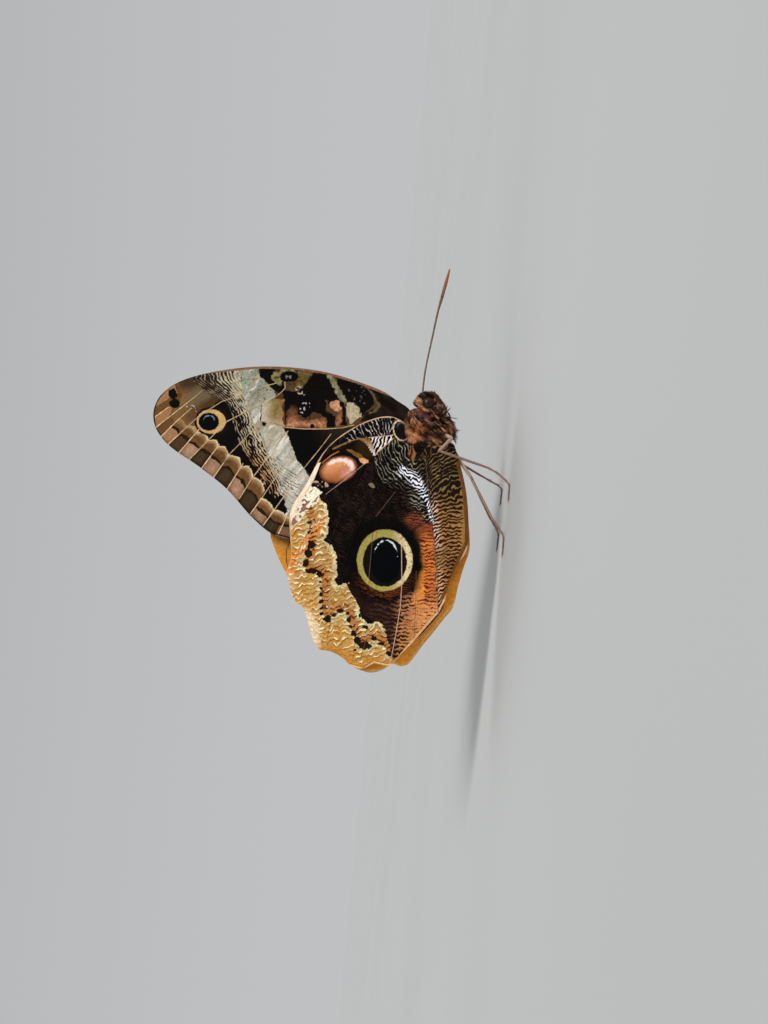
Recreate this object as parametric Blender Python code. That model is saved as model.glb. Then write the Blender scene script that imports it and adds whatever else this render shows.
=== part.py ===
"""An owl butterfly at rest, life size, wings shut over its back, standing on its four walking legs.

World axes: +Z up from the floor, +X the way the butterfly faces, +Y its left side.
Sizes are in millimetres until a mesh is made. The body frame has its origin in the middle of the
thorax, x forward, y to the left and z up, and is pitched nose up over the floor.
"""

import math

import bmesh
import bpy
import numpy as np
from mathutils import Matrix, Vector
from mathutils.geometry import delaunay_2d_cdt

MM = 0.001
GAP = 0.3

# Where the body stands: the middle of the thorax over the floor, and its pitch.
BODY_HEIGHT = 24.4
BODY_FORWARD = 16.41
BODY_PITCH = math.radians(5.2)

# Wing sheets: thickness, and how far each lies from the middle plane.
WING_THICK = 0.5
FOREWING_OFFSET = 0.65
HINDWING_OFFSET = 1.85
ROOT_SPREAD = 2.0
ROOT_REACH = 14.0
WING_ROOT = (-1.5, 6.5)
GUTTER_OFFSET = 4.45
GUTTER_CORE = 3.0
GUTTER_EDGE = 14.0
VEIN_HALF_WIDTH = 0.45
VEIN_HEIGHT = 0.25
VEIN_STEP = 4.5
OUTLINE_STEP = 3.0
SHEET_STEP = 5.5

# Outlines in the body frame, (x, z), from the front of the root round the tip to the rear of the root.
FOREWING_OUTLINE = (
    (1.5, 5.0), (3.5, 6.5), (5.9, 10.0), (8.1, 13.1), (11.4, 21.2), (14.2, 30.7), (15.6, 40.4),
    (15.9, 50.0), (15.2, 58.5), (13.1, 69.3), (10.4, 76.0), (6.6, 80.2), (2.0, 81.8), (-2.4, 81.0),
    (-7.2, 77.4), (-14.2, 67.6), (-20.4, 60.0), (-28.6, 52.7), (-33.4, 47.0), (-35.0, 42.0),
    (-34.0, 38.2), (-31.0, 34.6), (-18.3, 22.1), (-8.5, 12.6), (-3.5, 7.0), (-2.5, 3.5),
)
HINDWING_OUTLINE = (
    (-2.5, 3.0), (-1.4, 6.5), (0.8, 10.9), (0.8, 14.7), (-1.6, 21.2), (-5.6, 27.5), (-10.4, 32.0),
    (-15.0, 34.5), (-19.5, 36.9), (-24.5, 40.1), (-28.0, 41.4), (-34.0, 41.3), (-40.7, 41.0),
    (-44.8, 42.3), (-49.3, 41.3), (-53.1, 40.0), (-55.3, 37.5), (-59.3, 36.1), (-63.4, 35.0),
    (-67.6, 32.7), (-68.1, 29.1), (-69.5, 26.3), (-72.3, 23.5), (-73.3, 20.1), (-71.9, 16.5),
    (-72.5, 13.2), (-71.6, 10.6), (-68.9, 8.4), (-61.1, 0.6), (-55.5, -3.7), (-50.0, -5.1),
    (-42.2, -8.4), (-39.0, -10.5), (-35.5, -11.2), (-28.0, -11.2), (-20.7, -10.5), (-14.2, -9.1),
    (-9.7, -7.8), (-7.0, -6.6), (-7.6, -3.0), (-7.2, 1.0),
)
# The left hindwing is spread a little more, so that its rim shows past the right one.
LEFT_HINDWING_OUTLINE = (
    (-2.5, 3.0), (-1.4, 6.5), (0.8, 10.9), (0.8, 14.7), (-1.6, 21.2), (-5.6, 27.5), (-10.4, 32.0),
    (-14.5, 35.0), (-19.5, 39.0), (-24.5, 42.8), (-29.5, 46.2), (-33.7, 47.3), (-37.4, 46.3),
    (-42.4, 44.2), (-45.7, 42.6), (-49.6, 41.4), (-53.2, 40.0), (-55.5, 37.4), (-59.5, 36.2),
    (-63.6, 35.0), (-67.8, 32.8), (-68.6, 29.4), (-70.0, 26.6), (-73.4, 22.2), (-74.9, 17.6),
    (-74.0, 14.0), (-72.3, 11.0), (-73.0, 8.5), (-72.4, 6.4), (-70.2, 4.5), (-66.8, 2.1),
    (-63.2, -0.9), (-59.2, -4.0), (-55.6, -6.9), (-49.2, -8.5), (-44.1, -10.0), (-38.6, -11.9),
    (-34.5, -12.0), (-28.0, -11.4), (-20.7, -10.5), (-14.2, -9.1), (-9.7, -7.8), (-7.0, -6.6),
    (-7.6, -3.0), (-7.2, 1.0),
)
# The stretch of each outline that its thick leading-edge vein follows, and how far inside it lies.
COSTA_SPAN = {"forewing": (2, 14), "hindwing": (2, 11)}
COSTA_INSET = 0.85

# Main veins in the body frame, (x, z), each from its root to the margin.
FOREWING_VEINS = {
    "subcosta": ((3.0, 7.5), (10.6, 23.6), (13.9, 38.3), (15.3, 50.0)),
    "radius": ((2.4, 7.3), (8.3, 23.6), (10.6, 35.4), (11.2, 42.9), (12.7, 49.0), (11.5, 57.5),
               (8.7, 67.3), (3.3, 75.0), (-1.8, 80.2)),
    "media_1": ((11.2, 42.9), (10.1, 48.7), (6.4, 58.9), (1.1, 68.5), (-6.9, 77.0)),
    "cell_end": ((11.2, 42.9), (6.6, 46.2), (3.8, 49.9), (-0.2, 50.0)),
    "media_2": ((6.6, 46.2), (1.3, 56.6), (-6.2, 66.1), (-11.5, 71.0)),
    "cubitus": ((-0.5, 7.4), (-1.6, 22.4), (-2.7, 30.7), (-2.2, 42.5), (-0.2, 50.0), (-10.0, 59.2),
                (-16.7, 63.9)),
    "cubitus_1": ((-2.2, 42.5), (-9.5, 46.6), (-17.8, 53.0), (-23.6, 56.8)),
    "cubitus_2": ((-2.7, 30.7), (-8.6, 32.6), (-17.1, 40.3), (-30.6, 50.0)),
    "anal": ((-2.0, 8.0), (-9.4, 21.5), (-18.6, 34.6), (-26.6, 41.3), (-33.6, 44.6)),
}
HINDWING_VEINS = {
    "costal": ((-4.4, 9.5), (-5.0, 17.0), (-8.3, 25.7), (-13.9, 32.0), (-22.5, 37.6)),
    "radial": ((-4.4, 9.5), (-10.8, 16.2), (-17.4, 26.3), (-27.5, 33.5), (-44.0, 41.4)),
    "media_1": ((-14.0, 19.6), (-27.0, 25.5), (-46.5, 33.6), (-54.6, 37.4)),
    "media_2": ((-15.5, 14.5), (-34.0, 22.0), (-58.0, 30.5), (-67.0, 32.2)),
    "media_3": ((-13.0, 11.0), (-28.7, 15.2), (-47.2, 18.1), (-60.0, 21.5), (-71.9, 23.2)),
    "cubitus_1": ((-8.8, 8.0), (-19.8, 9.7), (-33.3, 8.4), (-53.7, 8.7), (-71.5, 11.6)),
    "cubitus_2": ((-19.8, 9.7), (-34.0, 5.2), (-46.3, 4.2), (-56.6, 3.9), (-65.0, 4.9)),
    "anal": ((-9.5, 4.2), (-17.7, 2.7), (-29.5, -0.9), (-46.0, -2.1), (-57.6, -2.2)),
}

# Body sections, front to rear: (x, z of the middle, half height, half width, forward lean of the top).
THORAX_SECTIONS = (
    (2.2, 1.9, 2.3, 2.0, 0.55), (1.4, 1.9, 4.0, 3.3, 0.5), (-0.6, 1.4, 5.8, 4.4, 0.35),
    (-2.8, 1.3, 6.6, 4.9, 0.2), (-5.2, 0.6, 6.4, 4.8, 0.05), (-7.4, -0.4, 5.4, 3.9, 0.0),
    (-9.2, -1.1, 3.3, 2.8, 0.0),
)
HEAD_SECTIONS = (
    (8.0, 0.9, 0.9, 1.0, 0.0), (7.4, 0.9, 2.1, 2.2, 0.0), (6.2, 0.9, 3.0, 2.9, 0.05),
    (4.7, 1.1, 3.4, 3.1, 0.15), (3.4, 1.5, 3.0, 2.7, 0.35), (2.56, 1.9, 2.2, 1.9, 0.55),
)
ABDOMEN_PROFILE = (
    (-9.5, -1.2, 2.7), (-12.5, -2.2, 3.4), (-16.0, -3.1, 3.65), (-20.0, -3.9, 3.65),
    (-24.0, -4.7, 3.3), (-28.0, -5.4, 2.7), (-31.5, -5.9, 1.9), (-34.0, -6.2, 1.1),
)
ABDOMEN_SEGMENTS = 7
SEGMENT_GROOVE = 0.22

# Eyes, antennae, palps and tongue, for the right side where a part is one of a pair.
EYE_AT = (5.0, -2.25, 0.45)
EYE_RADII = (1.65, 1.35, 1.8)
ANTENNA_ROUTE = ((5.6, -0.9, 2.2), (8.6, -1.5, 2.1), (15.0, -3.3, 1.3), (24.0, -6.2, -0.6),
                 (33.0, -9.2, -2.6), (39.0, -11.1, -4.3), (43.0, -12.1, -5.4))
ANTENNA_RADII = (0.34, 0.27, 0.26, 0.27, 0.32, 0.52, 0.24)
PALP_ROUTE = ((3.0, -1.1, -1.2), (2.0, -1.3, -2.8), (2.2, -1.35, -3.9), (3.6, -1.3, -3.85),
              (5.3, -1.2, -2.9), (6.9, -1.05, -1.9), (8.2, -0.85, -0.7))
PALP_RADII = (0.5, 0.62, 0.72, 0.72, 0.58, 0.4, 0.22)
TONGUE_STEM = ((3.1, 0.0, -1.0), (2.8, 0.0, -2.9))
TONGUE_CENTRE = (0.9, -4.4)
TONGUE_TURNS = 1.6
TONGUE_OUTER = 1.75
TONGUE_PITCH = 0.85
TONGUE_RADIUS = 0.26

# Legs: body-frame points as far as the knee, then points over the floor (x from the thorax, y, height).
TOE_RADIUS = 0.3
TOE_HEIGHT = TOE_RADIUS * math.cos(math.pi / 6)
TOE_FLAT = 0.06
FORELEG_ROUTE = ((-0.2, -1.6, -2.6), (0.6, -2.5, -4.1), (0.1, -2.5, -5.1), (-2.4, -1.9, -6.1),
                 (-5.2, -1.1, -6.5))
FORELEG_RADII = (0.5, 0.55, 0.6, 0.5, 0.26)
LEGS = {
    "midleg_right": {
        "body": ((-4.3, -1.6, -4.2), (-5.4, -3.4, -6.4), (-7.2, -6.6, -4.6), (-9.4, -10.2, -2.4)),
        "floor": ((-12.8, -12.0, 6.7), (-14.0, -12.9, 4.05), (-15.9, -13.8, 1.55),
                  (-17.2, -14.2, TOE_HEIGHT), (-19.2, -14.8, TOE_HEIGHT), (-21.8, -15.6, TOE_HEIGHT)),
    },
    "midleg_left": {
        "body": ((-4.3, 1.6, -4.2), (-5.4, 3.4, -6.4), (-7.0, 6.2, -5.0), (-8.7, 9.2, -3.3)),
        "floor": ((-14.2, 11.8, 8.1), (-15.9, 12.9, 4.2), (-17.0, 13.7, 1.6),
                  (-18.1, 14.2, TOE_HEIGHT), (-20.2, 14.8, TOE_HEIGHT), (-22.8, 15.6, TOE_HEIGHT)),
    },
    "hindleg_right": {
        "body": ((-6.2, -1.2, -3.4), (-8.4, -1.8, -6.6), (-12.5, -2.4, -9.1), (-17.0, -3.4, -12.0)),
        "floor": ((-27.6, -9.4, 3.8), (-29.4, -10.0, 2.3), (-31.0, -10.4, 1.0),
                  (-32.5, -10.7, TOE_HEIGHT), (-34.5, -11.1, TOE_HEIGHT), (-37.5, -11.7, TOE_HEIGHT)),
    },
    "hindleg_left": {
        "body": ((-6.2, 1.2, -3.4), (-8.4, 1.8, -6.6), (-12.3, 2.5, -9.2), (-16.6, 3.6, -12.4)),
        "floor": ((-26.8, 9.8, 3.6), (-28.7, 10.5, 2.2), (-30.3, 11.0, 1.0),
                  (-31.8, 11.4, TOE_HEIGHT), (-33.6, 11.9, TOE_HEIGHT), (-36.6, 12.7, TOE_HEIGHT)),
    },
}
LEG_BODY_RADII = (0.72, 0.6, 0.6, 0.46)
LEG_FLOOR_RADII = (0.36, 0.36, 0.33, TOE_RADIUS, TOE_RADIUS, TOE_RADIUS)

# Colour, roughness and metallic value of each finish.
FINISHES = {
    "forewing": ((0.30, 0.20, 0.12), 0.55, 0.0),
    "hindwing": ((0.34, 0.19, 0.09), 0.55, 0.0),
    "body_hair": ((0.27, 0.13, 0.06), 0.85, 0.0),
    "abdomen_hair": ((0.25, 0.15, 0.08), 0.85, 0.0),
    "eye": ((0.05, 0.03, 0.02), 0.12, 0.0),
    "antenna": ((0.16, 0.09, 0.05), 0.5, 0.0),
    "leg": ((0.42, 0.28, 0.18), 0.55, 0.0),
}


def clear_scene():
    for obj in list(bpy.data.objects):
        bpy.data.objects.remove(obj, do_unlink=True)


def finish(name):
    """The material of that name, made the first time it is asked for."""
    material = bpy.data.materials.get(name)
    if material is None:
        colour, roughness, metallic = FINISHES[name]
        material = bpy.data.materials.new(name)
        material.use_nodes = True
        shader = material.node_tree.nodes["Principled BSDF"]
        shader.inputs["Base Color"].default_value = (*colour, 1.0)
        shader.inputs["Roughness"].default_value = roughness
        shader.inputs["Metallic"].default_value = metallic
    return material


def body_matrix():
    """Body frame to world, both in millimetres."""
    return (Matrix.Translation((BODY_FORWARD, 0.0, BODY_HEIGHT))
            @ Matrix.Rotation(-BODY_PITCH, 4, "Y"))


def make_object(name, points, faces, finish_name):
    """A mesh object from world points in millimetres."""
    mesh = bpy.data.meshes.new(name)
    mesh.from_pydata([tuple(MM * c for c in p) for p in points], [], faces)
    surface = bmesh.new()
    surface.from_mesh(mesh)
    bmesh.ops.triangulate(surface, faces=[f for f in surface.faces if len(f.verts) > 3])
    bmesh.ops.recalc_face_normals(surface, faces=surface.faces)
    surface.to_mesh(mesh)
    surface.free()
    mesh.shade_smooth()
    mesh.set_sharp_from_angle(angle=math.radians(50))
    obj = bpy.data.objects.new(name, mesh)
    bpy.context.scene.collection.objects.link(obj)
    mesh.materials.append(finish(finish_name))
    return obj


def in_world(points):
    """Body-frame points moved to the world."""
    matrix = body_matrix()
    return [matrix @ Vector(p) for p in points]


def mirrored(points):
    return [(p[0], -p[1], p[2]) for p in points]


def spline(points, step, closed=False):
    """Points on a smooth curve through the given ones, about step apart, keeping each given point."""
    pts = np.array(points, float)
    count = len(pts)
    found = []
    spans = count if closed else count - 1
    for i in range(spans):
        if closed:
            p0, p1, p2, p3 = (pts[(i + k) % count] for k in (-1, 0, 1, 2))
        else:
            p1, p2 = pts[i], pts[i + 1]
            p0 = pts[i - 1] if i else 2 * p1 - p2
            p3 = pts[i + 2] if i + 2 < count else 2 * p2 - p1
        k0, k1, k2 = (max(np.linalg.norm(b - a), 1e-6) ** 0.5
                      for a, b in ((p0, p1), (p1, p2), (p2, p3)))
        m1 = (p2 - p1) - k1 * ((p2 - p0) / (k0 + k1) - (p1 - p0) / k0)
        m2 = (p2 - p1) - k1 * ((p3 - p1) / (k1 + k2) - (p3 - p2) / k2)
        parts = max(1, round(float(np.linalg.norm(p2 - p1)) / step))
        for j in range(parts):
            t = j / parts
            found.append((2 * t**3 - 3 * t**2 + 1) * p1 + (t**3 - 2 * t**2 + t) * m1
                         + (3 * t**2 - 2 * t**3) * p2 + (t**3 - t**2) * m2)
    if not closed:
        found.append(pts[-1])
    return np.array(found)


def ring_faces(rings, sides):
    """Faces of a closed skin over rings of points, with flat ends."""
    faces = [tuple(range(sides))[::-1]]
    for r in range(rings - 1):
        for s in range(sides):
            a, b = r * sides + s, r * sides + (s + 1) % sides
            faces.append((a, b, b + sides, a + sides))
    faces.append(tuple((rings - 1) * sides + s for s in range(sides)))
    return faces


def tube_points(route, radii, sides, up=Vector((0.0, 0.0, 1.0))):
    """Rings round a route, carried without twist from the far end, where a flat side faces down."""
    pts = [Vector(p) for p in route]
    tangents = []
    for i in range(len(pts)):
        ahead = pts[min(i + 1, len(pts) - 1)] - pts[i]
        behind = pts[i] - pts[max(i - 1, 0)]
        tangents.append((ahead.normalized() + behind.normalized()).normalized())
    normal = (up - up.dot(tangents[-1]) * tangents[-1]).normalized()
    rings = []
    for i in reversed(range(len(pts))):
        tangent = tangents[i]
        normal = (normal - normal.dot(tangent) * tangent).normalized()
        side = tangent.cross(normal)
        turn = math.pi / sides
        rings.append([pts[i] + radii[i] * (math.cos(a) * normal + math.sin(a) * side)
                      for a in (turn + 2 * math.pi * k / sides for k in range(sides))])
    return [p for ring in reversed(rings) for p in ring]


def tube(name, route, radii, sides, finish_name):
    points = tube_points(route, radii, sides)
    return make_object(name, points, ring_faces(len(route), sides), finish_name)


def smooth_tube(name, route, radii, sides, step, finish_name):
    """A tube on a smooth curve through a route in the world, its radius following the route's own."""
    line = spline([(*p, r) for p, r in zip(route, radii)], step)
    return tube(name, [Vector(p[:3]) for p in line], [float(p[3]) for p in line], sides, finish_name)


def loft(name, sections, sides, finish_name, grow=0.0):
    """A closed skin over oval sections across the body's length. grow widens it on every side."""
    points = []
    last = len(sections) - 1
    for i, (x, z, half_height, half_width, lean) in enumerate(sections):
        x += grow * math.hypot(1.0, lean) * ((i == 0) - (i == last))
        for k in range(sides):
            a = 2 * math.pi * (k + 0.5) / sides
            lift = (half_height + grow) * math.cos(a)
            points.append((x + lean * lift, (half_width + grow) * math.sin(a), z + lift))
    return make_object(name, in_world(points), ring_faces(len(sections), sides), finish_name)


def ellipsoid(name, centre, radii, finish_name, grow=0.0):
    """A ball with its own radius along each axis of the body frame."""
    ball = bmesh.new()
    bmesh.ops.create_icosphere(ball, subdivisions=3, radius=1.0)
    points = [tuple(c + (r + grow) * v for c, r, v in zip(centre, radii, vert.co)) for vert in ball.verts]
    faces = [tuple(v.index for v in face.verts) for face in ball.faces]
    ball.free()
    return make_object(name, in_world(points), faces, finish_name)


def keep_largest(mesh):
    """Leaves only the closed surface that holds most, so that no scrap of a cut stays."""
    surface = bmesh.new()
    surface.from_mesh(mesh)
    surface.faces.ensure_lookup_table()
    unseen, islands = set(surface.faces), []
    while unseen:
        stack = [unseen.pop()]
        island = list(stack)
        while stack:
            for edge in stack.pop().edges:
                for face in edge.link_faces:
                    if face in unseen:
                        unseen.remove(face)
                        island.append(face)
                        stack.append(face)
        islands.append(island)

    def held(island):
        return sum(f.verts[0].co.dot((f.verts[1].co).cross(f.verts[2].co)) for f in island)

    islands.sort(key=held)
    scraps = [face for island in islands[:-1] for face in island]
    bmesh.ops.delete(surface, geom=scraps, context="FACES")
    surface.to_mesh(mesh)
    surface.free()


def cut(obj, *cutters):
    """Takes the cutters' shapes out of an object for good, then removes the cutters."""
    for cutter in cutters:
        modifier = obj.modifiers.new("cut", "BOOLEAN")
        modifier.operation = "DIFFERENCE"
        modifier.solver = "EXACT"
        modifier.object = cutter
    bpy.context.view_layer.update()
    graph = bpy.context.evaluated_depsgraph_get()
    mesh = bpy.data.meshes.new_from_object(obj.evaluated_get(graph))
    obj.modifiers.clear()
    obj.data = mesh
    surface = bmesh.new()
    surface.from_mesh(mesh)
    bmesh.ops.triangulate(surface, faces=surface.faces)
    surface.to_mesh(mesh)
    surface.free()
    keep_largest(mesh)
    for cutter in cutters:
        bpy.data.objects.remove(cutter, do_unlink=True)
    return obj


def thorax_cutter():
    return loft("thorax_cutter", THORAX_SECTIONS, 20, "body_hair", grow=GAP)


def head_cutter():
    return loft("head_cutter", HEAD_SECTIONS, 16, "body_hair", grow=GAP)


def segment_distance(points, a, b):
    """How far each (x, z) point lies from the stretch a to b."""
    a, b = np.array(a, float), np.array(b, float)
    t = np.clip(((points - a) @ (b - a)) / ((b - a) @ (b - a)), 0, 1)
    return np.linalg.norm(points - (a + t[:, None] * (b - a)), axis=1)


def line_distance(points, line):
    return np.min([segment_distance(points, a, b) for a, b in zip(line[:-1], line[1:])], axis=0)


def root_lift(points):
    """1 at the wing roots, falling to 0 where the wings have closed together."""
    reach = np.linalg.norm(points - np.array(WING_ROOT), axis=1) / ROOT_REACH
    return np.exp(-reach**2)


def forewing_offset(points):
    return FOREWING_OFFSET + ROOT_SPREAD * root_lift(points)


def hindwing_offset(points):
    """The hindwing lies outside the forewing, and bows out round the abdomen."""
    plain = HINDWING_OFFSET + ROOT_SPREAD * root_lift(points)
    axis = [(x, z) for x, z, _ in ABDOMEN_PROFILE]
    away = np.clip((line_distance(points, axis) - GUTTER_CORE) / (GUTTER_EDGE - GUTTER_CORE), 0, 1)
    hold = 1 - away * away * (3 - 2 * away)
    return plain + (np.maximum(GUTTER_OFFSET, plain) - plain) * hold


def inside(points, outline):
    """Which points lie inside a closed outline."""
    x, y = points[:, 0], points[:, 1]
    found = np.zeros(len(points), bool)
    for (x0, y0), (x1, y1) in zip(outline, np.roll(outline, -1, axis=0)):
        crosses = (y0 > y) != (y1 > y)
        found ^= crosses & (x < x0 + (y - y0) * (x1 - x0) / (y1 - y0 + 1e-12))
    return found


def inset(points, distance):
    """An open line moved sideways by a distance, to the right of its own direction if positive."""
    along = np.gradient(points, axis=0)
    across = np.column_stack((along[:, 1], -along[:, 0])) / np.linalg.norm(along, axis=1)[:, None]
    return points + distance * across


def vein_net(veins, outline):
    """Points and edges of each vein's crest and of its two feet."""
    lines = [spline(v, VEIN_STEP) for v in veins]
    points, edges = [], []
    for n, line in enumerate(lines):
        others = [other for m, other in enumerate(lines) if m != n]
        along = np.gradient(line, axis=0)
        across = np.column_stack((-along[:, 1], along[:, 0])) / np.linalg.norm(along, axis=1)[:, None]
        for shift in (0.0, VEIN_HALF_WIDTH, -VEIN_HALF_WIDTH):
            track = line + shift * across
            kept = inside(track, outline) & (line_distance(track, np.vstack((outline, outline[:1]))) > 0.35)
            if shift:
                clear = np.min([line_distance(track, other) for other in others], axis=0)
                kept &= clear > 1.2 * VEIN_HALF_WIDTH
            start = len(points)
            numbers = {i: start + k for k, i in enumerate(np.flatnonzero(kept))}
            points.extend(track[i] for i in numbers)
            edges.extend((numbers[i], numbers[i + 1]) for i in numbers if i + 1 in numbers)
    return lines, points, edges


def wing(name, corners, veins, offset, side, finish_name):
    """A thin curved sheet with its veins raised on the outer face, both faces split alike."""
    outline = spline(corners, OUTLINE_STEP, closed=True)
    first, last = COSTA_SPAN[finish_name]
    costa = inset(np.array(corners[first:last], float), COSTA_INSET)
    lines, vein_points, vein_edges = vein_net([costa, *veins.values()], outline)
    low, high = outline.min(axis=0), outline.max(axis=0)
    grid = np.array([(x + (row % 2) * SHEET_STEP / 2, z)
                     for row, z in enumerate(np.arange(low[1], high[1], SHEET_STEP * 0.87))
                     for x in np.arange(low[0], high[0], SHEET_STEP)])
    grid = grid[inside(grid, outline)]
    grid = grid[line_distance(grid, np.vstack((outline, outline[:1]))) > 2.0]
    grid = grid[np.min([line_distance(grid, line) for line in lines], axis=0) > 1.7]
    flat = [Vector(p) for p in (*outline, *vein_points, *grid)]
    rim = len(outline)
    edges = [(a + rim, b + rim) for a, b in vein_edges]
    found, _, faces, *_ = delaunay_2d_cdt(flat, edges, [list(range(rim))], 1, 1e-4)
    plane = np.array([tuple(p) for p in found])
    crest = np.min([line_distance(plane, line) for line in lines], axis=0)
    ridge = VEIN_HEIGHT * np.clip(1 - crest / VEIN_HALF_WIDTH, 0, 1)
    middle = offset(plane)
    layers = (middle + WING_THICK / 2 + ridge, middle - WING_THICK / 2)
    points = [(x, side * y, z) for layer in layers for (x, z), y in zip(plane, layer)]
    count = len(plane)
    skins = [tuple(f) for f in faces] + [tuple(v + count for v in reversed(f)) for f in faces]
    used = {}
    for face in faces:
        for a, b in zip(face, (*face[1:], face[0])):
            used[(a, b)] = used.get((b, a)) is None
            if not used[(a, b)]:
                used[(b, a)] = False
    border = [pair for pair, single in used.items() if single]
    skins += [(b, a, a + count, b + count) for a, b in border]
    return make_object(name, in_world(points), skins, finish_name)


def build_wings():
    shapes = (
        ("forewing_right", FOREWING_OUTLINE, FOREWING_VEINS, forewing_offset, -1, "forewing"),
        ("forewing_left", FOREWING_OUTLINE, FOREWING_VEINS, forewing_offset, 1, "forewing"),
        ("hindwing_right", HINDWING_OUTLINE, HINDWING_VEINS, hindwing_offset, -1, "hindwing"),
        ("hindwing_left", LEFT_HINDWING_OUTLINE, HINDWING_VEINS, hindwing_offset, 1, "hindwing"),
    )
    for shape in shapes:
        cut(wing(*shape), thorax_cutter())


def abdomen_sections():
    """Round sections, pinched where one segment meets the next."""
    line = spline(ABDOMEN_PROFILE, 1.0)
    sections = []
    steps = 3 * ABDOMEN_SEGMENTS
    for k in range(steps + 1):
        x, z, radius = (float(np.interp(k / steps, np.linspace(0, 1, len(line)), column))
                        for column in line.T)
        pinch = SEGMENT_GROOVE if k % 3 == 0 and 0 < k < steps else 0.0
        sections.append((x, z, radius - pinch, radius - pinch, 0.0))
    return sections


def build_body():
    loft("thorax", THORAX_SECTIONS, 20, "body_hair")
    loft("abdomen", abdomen_sections(), 14, "abdomen_hair")
    head = loft("head", HEAD_SECTIONS, 16, "body_hair")
    sides = {"right": EYE_AT, "left": (EYE_AT[0], -EYE_AT[1], EYE_AT[2])}
    cut(head, *(ellipsoid("socket_" + s, at, EYE_RADII, "eye", grow=GAP) for s, at in sides.items()))
    for side, at in sides.items():
        ellipsoid("eye_" + side, at, EYE_RADII, "eye")


def build_head_parts():
    """Antennae and palps grow from the head, and the coiled tongue lies between the palps."""
    for side, turn in (("right", list), ("left", mirrored)):
        route = in_world(turn(ANTENNA_ROUTE))
        cut(smooth_tube("antenna_" + side, route, ANTENNA_RADII, 6, 2.6, "antenna"), head_cutter())
        route = in_world(turn(PALP_ROUTE))
        cut(smooth_tube("palp_" + side, route, PALP_RADII, 8, 1.1, "body_hair"), head_cutter(), thorax_cutter())
    steps = round(14 * TONGUE_TURNS)
    coil = list(TONGUE_STEM)
    for k in range(steps + 1):
        turned = TONGUE_TURNS * k / steps
        angle = math.pi / 2 + 2 * math.pi * turned
        radius = TONGUE_OUTER - TONGUE_PITCH * turned
        coil.append((TONGUE_CENTRE[0] + radius * math.sin(angle), 0.0,
                     TONGUE_CENTRE[1] + radius * math.cos(angle)))
    tongue = tube("proboscis", in_world(coil), [TONGUE_RADIUS] * len(coil), 6, "antenna")
    cut(tongue, head_cutter())


def build_legs():
    for side, turn in (("right", list), ("left", mirrored)):
        route = in_world(turn(FORELEG_ROUTE))
        cut(smooth_tube("foreleg_" + side, route, FORELEG_RADII, 8, 1.3, "body_hair"), thorax_cutter())
    for name, leg in LEGS.items():
        above = in_world(leg["body"])
        below = [Vector((x + BODY_FORWARD, y, z)) for x, y, z in leg["floor"]]
        points = tube_points([*above, *below], (*LEG_BODY_RADII, *LEG_FLOOR_RADII), 6)
        for p in points:
            if p.z < TOE_FLAT:
                p.z = 0.0
        faces = ring_faces(len(above) + len(below), 6)
        cut(make_object(name, points, faces, "leg"), thorax_cutter())


def main():
    clear_scene()
    build_body()
    build_head_parts()
    build_wings()
    build_legs()


main()
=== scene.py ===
"""Looks of the owl butterfly: painted scaly wings, a furred body, faceted eyes, ringed feelers, jointed legs.

Sizes are in millimetres in the body frame of the CAD (origin in the thorax, x forward, y left, z up) until
a mesh is made. Wing markings are placed in pixels of the photograph, read off it, PIXEL millimetres each.
"""

import math
from collections import namedtuple
from functools import partial

import bmesh
import bpy
import numpy as np
from mathutils import Matrix, Vector


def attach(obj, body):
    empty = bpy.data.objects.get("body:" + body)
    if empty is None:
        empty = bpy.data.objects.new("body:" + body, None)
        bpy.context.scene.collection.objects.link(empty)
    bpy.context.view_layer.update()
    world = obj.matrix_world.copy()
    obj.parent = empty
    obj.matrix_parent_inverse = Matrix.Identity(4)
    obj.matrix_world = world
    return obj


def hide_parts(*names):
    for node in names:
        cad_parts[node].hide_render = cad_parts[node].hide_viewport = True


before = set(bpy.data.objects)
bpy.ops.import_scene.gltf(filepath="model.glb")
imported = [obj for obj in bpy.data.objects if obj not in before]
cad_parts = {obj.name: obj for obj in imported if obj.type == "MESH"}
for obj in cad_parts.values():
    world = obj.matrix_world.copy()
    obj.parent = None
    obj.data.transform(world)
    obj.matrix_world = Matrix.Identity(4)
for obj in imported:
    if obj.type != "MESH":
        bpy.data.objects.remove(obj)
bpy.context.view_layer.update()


# Frames: the body frame's place over the floor, and how far the body is pitched up.
MM = 0.001
BODY_HEIGHT = 24.4
BODY_FORWARD = 16.41
BODY_PITCH = math.radians(5.2)

# Photograph pixels: size of one on the wings, and the pixel of the body frame's origin.
PIXEL = 0.295
ORIGIN_PIXEL = (430.0, 420.0)

# Wing sheets.
FOREWING_OFFSET = 0.65
HINDWING_OFFSET = 1.85
ROOT_SPREAD = 2.0
ROOT_REACH = 14.0
WING_ROOT = (-1.5, 6.5)
GUTTER_OFFSET = 4.45
GUTTER_CORE = 3.0
GUTTER_EDGE = 14.0
SHEET_THICK = 0.24
EDGE_TAPER = 1.0
RIDGE_HALF_WIDTH = 0.42
RIDGE_HEIGHT = 0.16
PLEAT_HEIGHT = 0.1
OUTER_STEP = {"forewing": 0.21, "hindwing": 0.215, "left_hindwing": 0.225}
INNER_STEP = 0.55
OUTLINE_STEP = 0.35
RIDGE_START = 0.6
SIDES = (("right", -1), ("left", 1))
# width and left side of the two faces on the OFBake map, then the map's height and foot
OUTER_MAP, INNER_MAP = (0.61, 0.005), (0.36, 0.63)
MAP_HEIGHT, MAP_FOOT = 0.985, 0.006
# a distance beyond any that matters, and the factor that turns a cell's two numbers into one
FAR = 9.0
CELL_CODE = 100003

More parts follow.
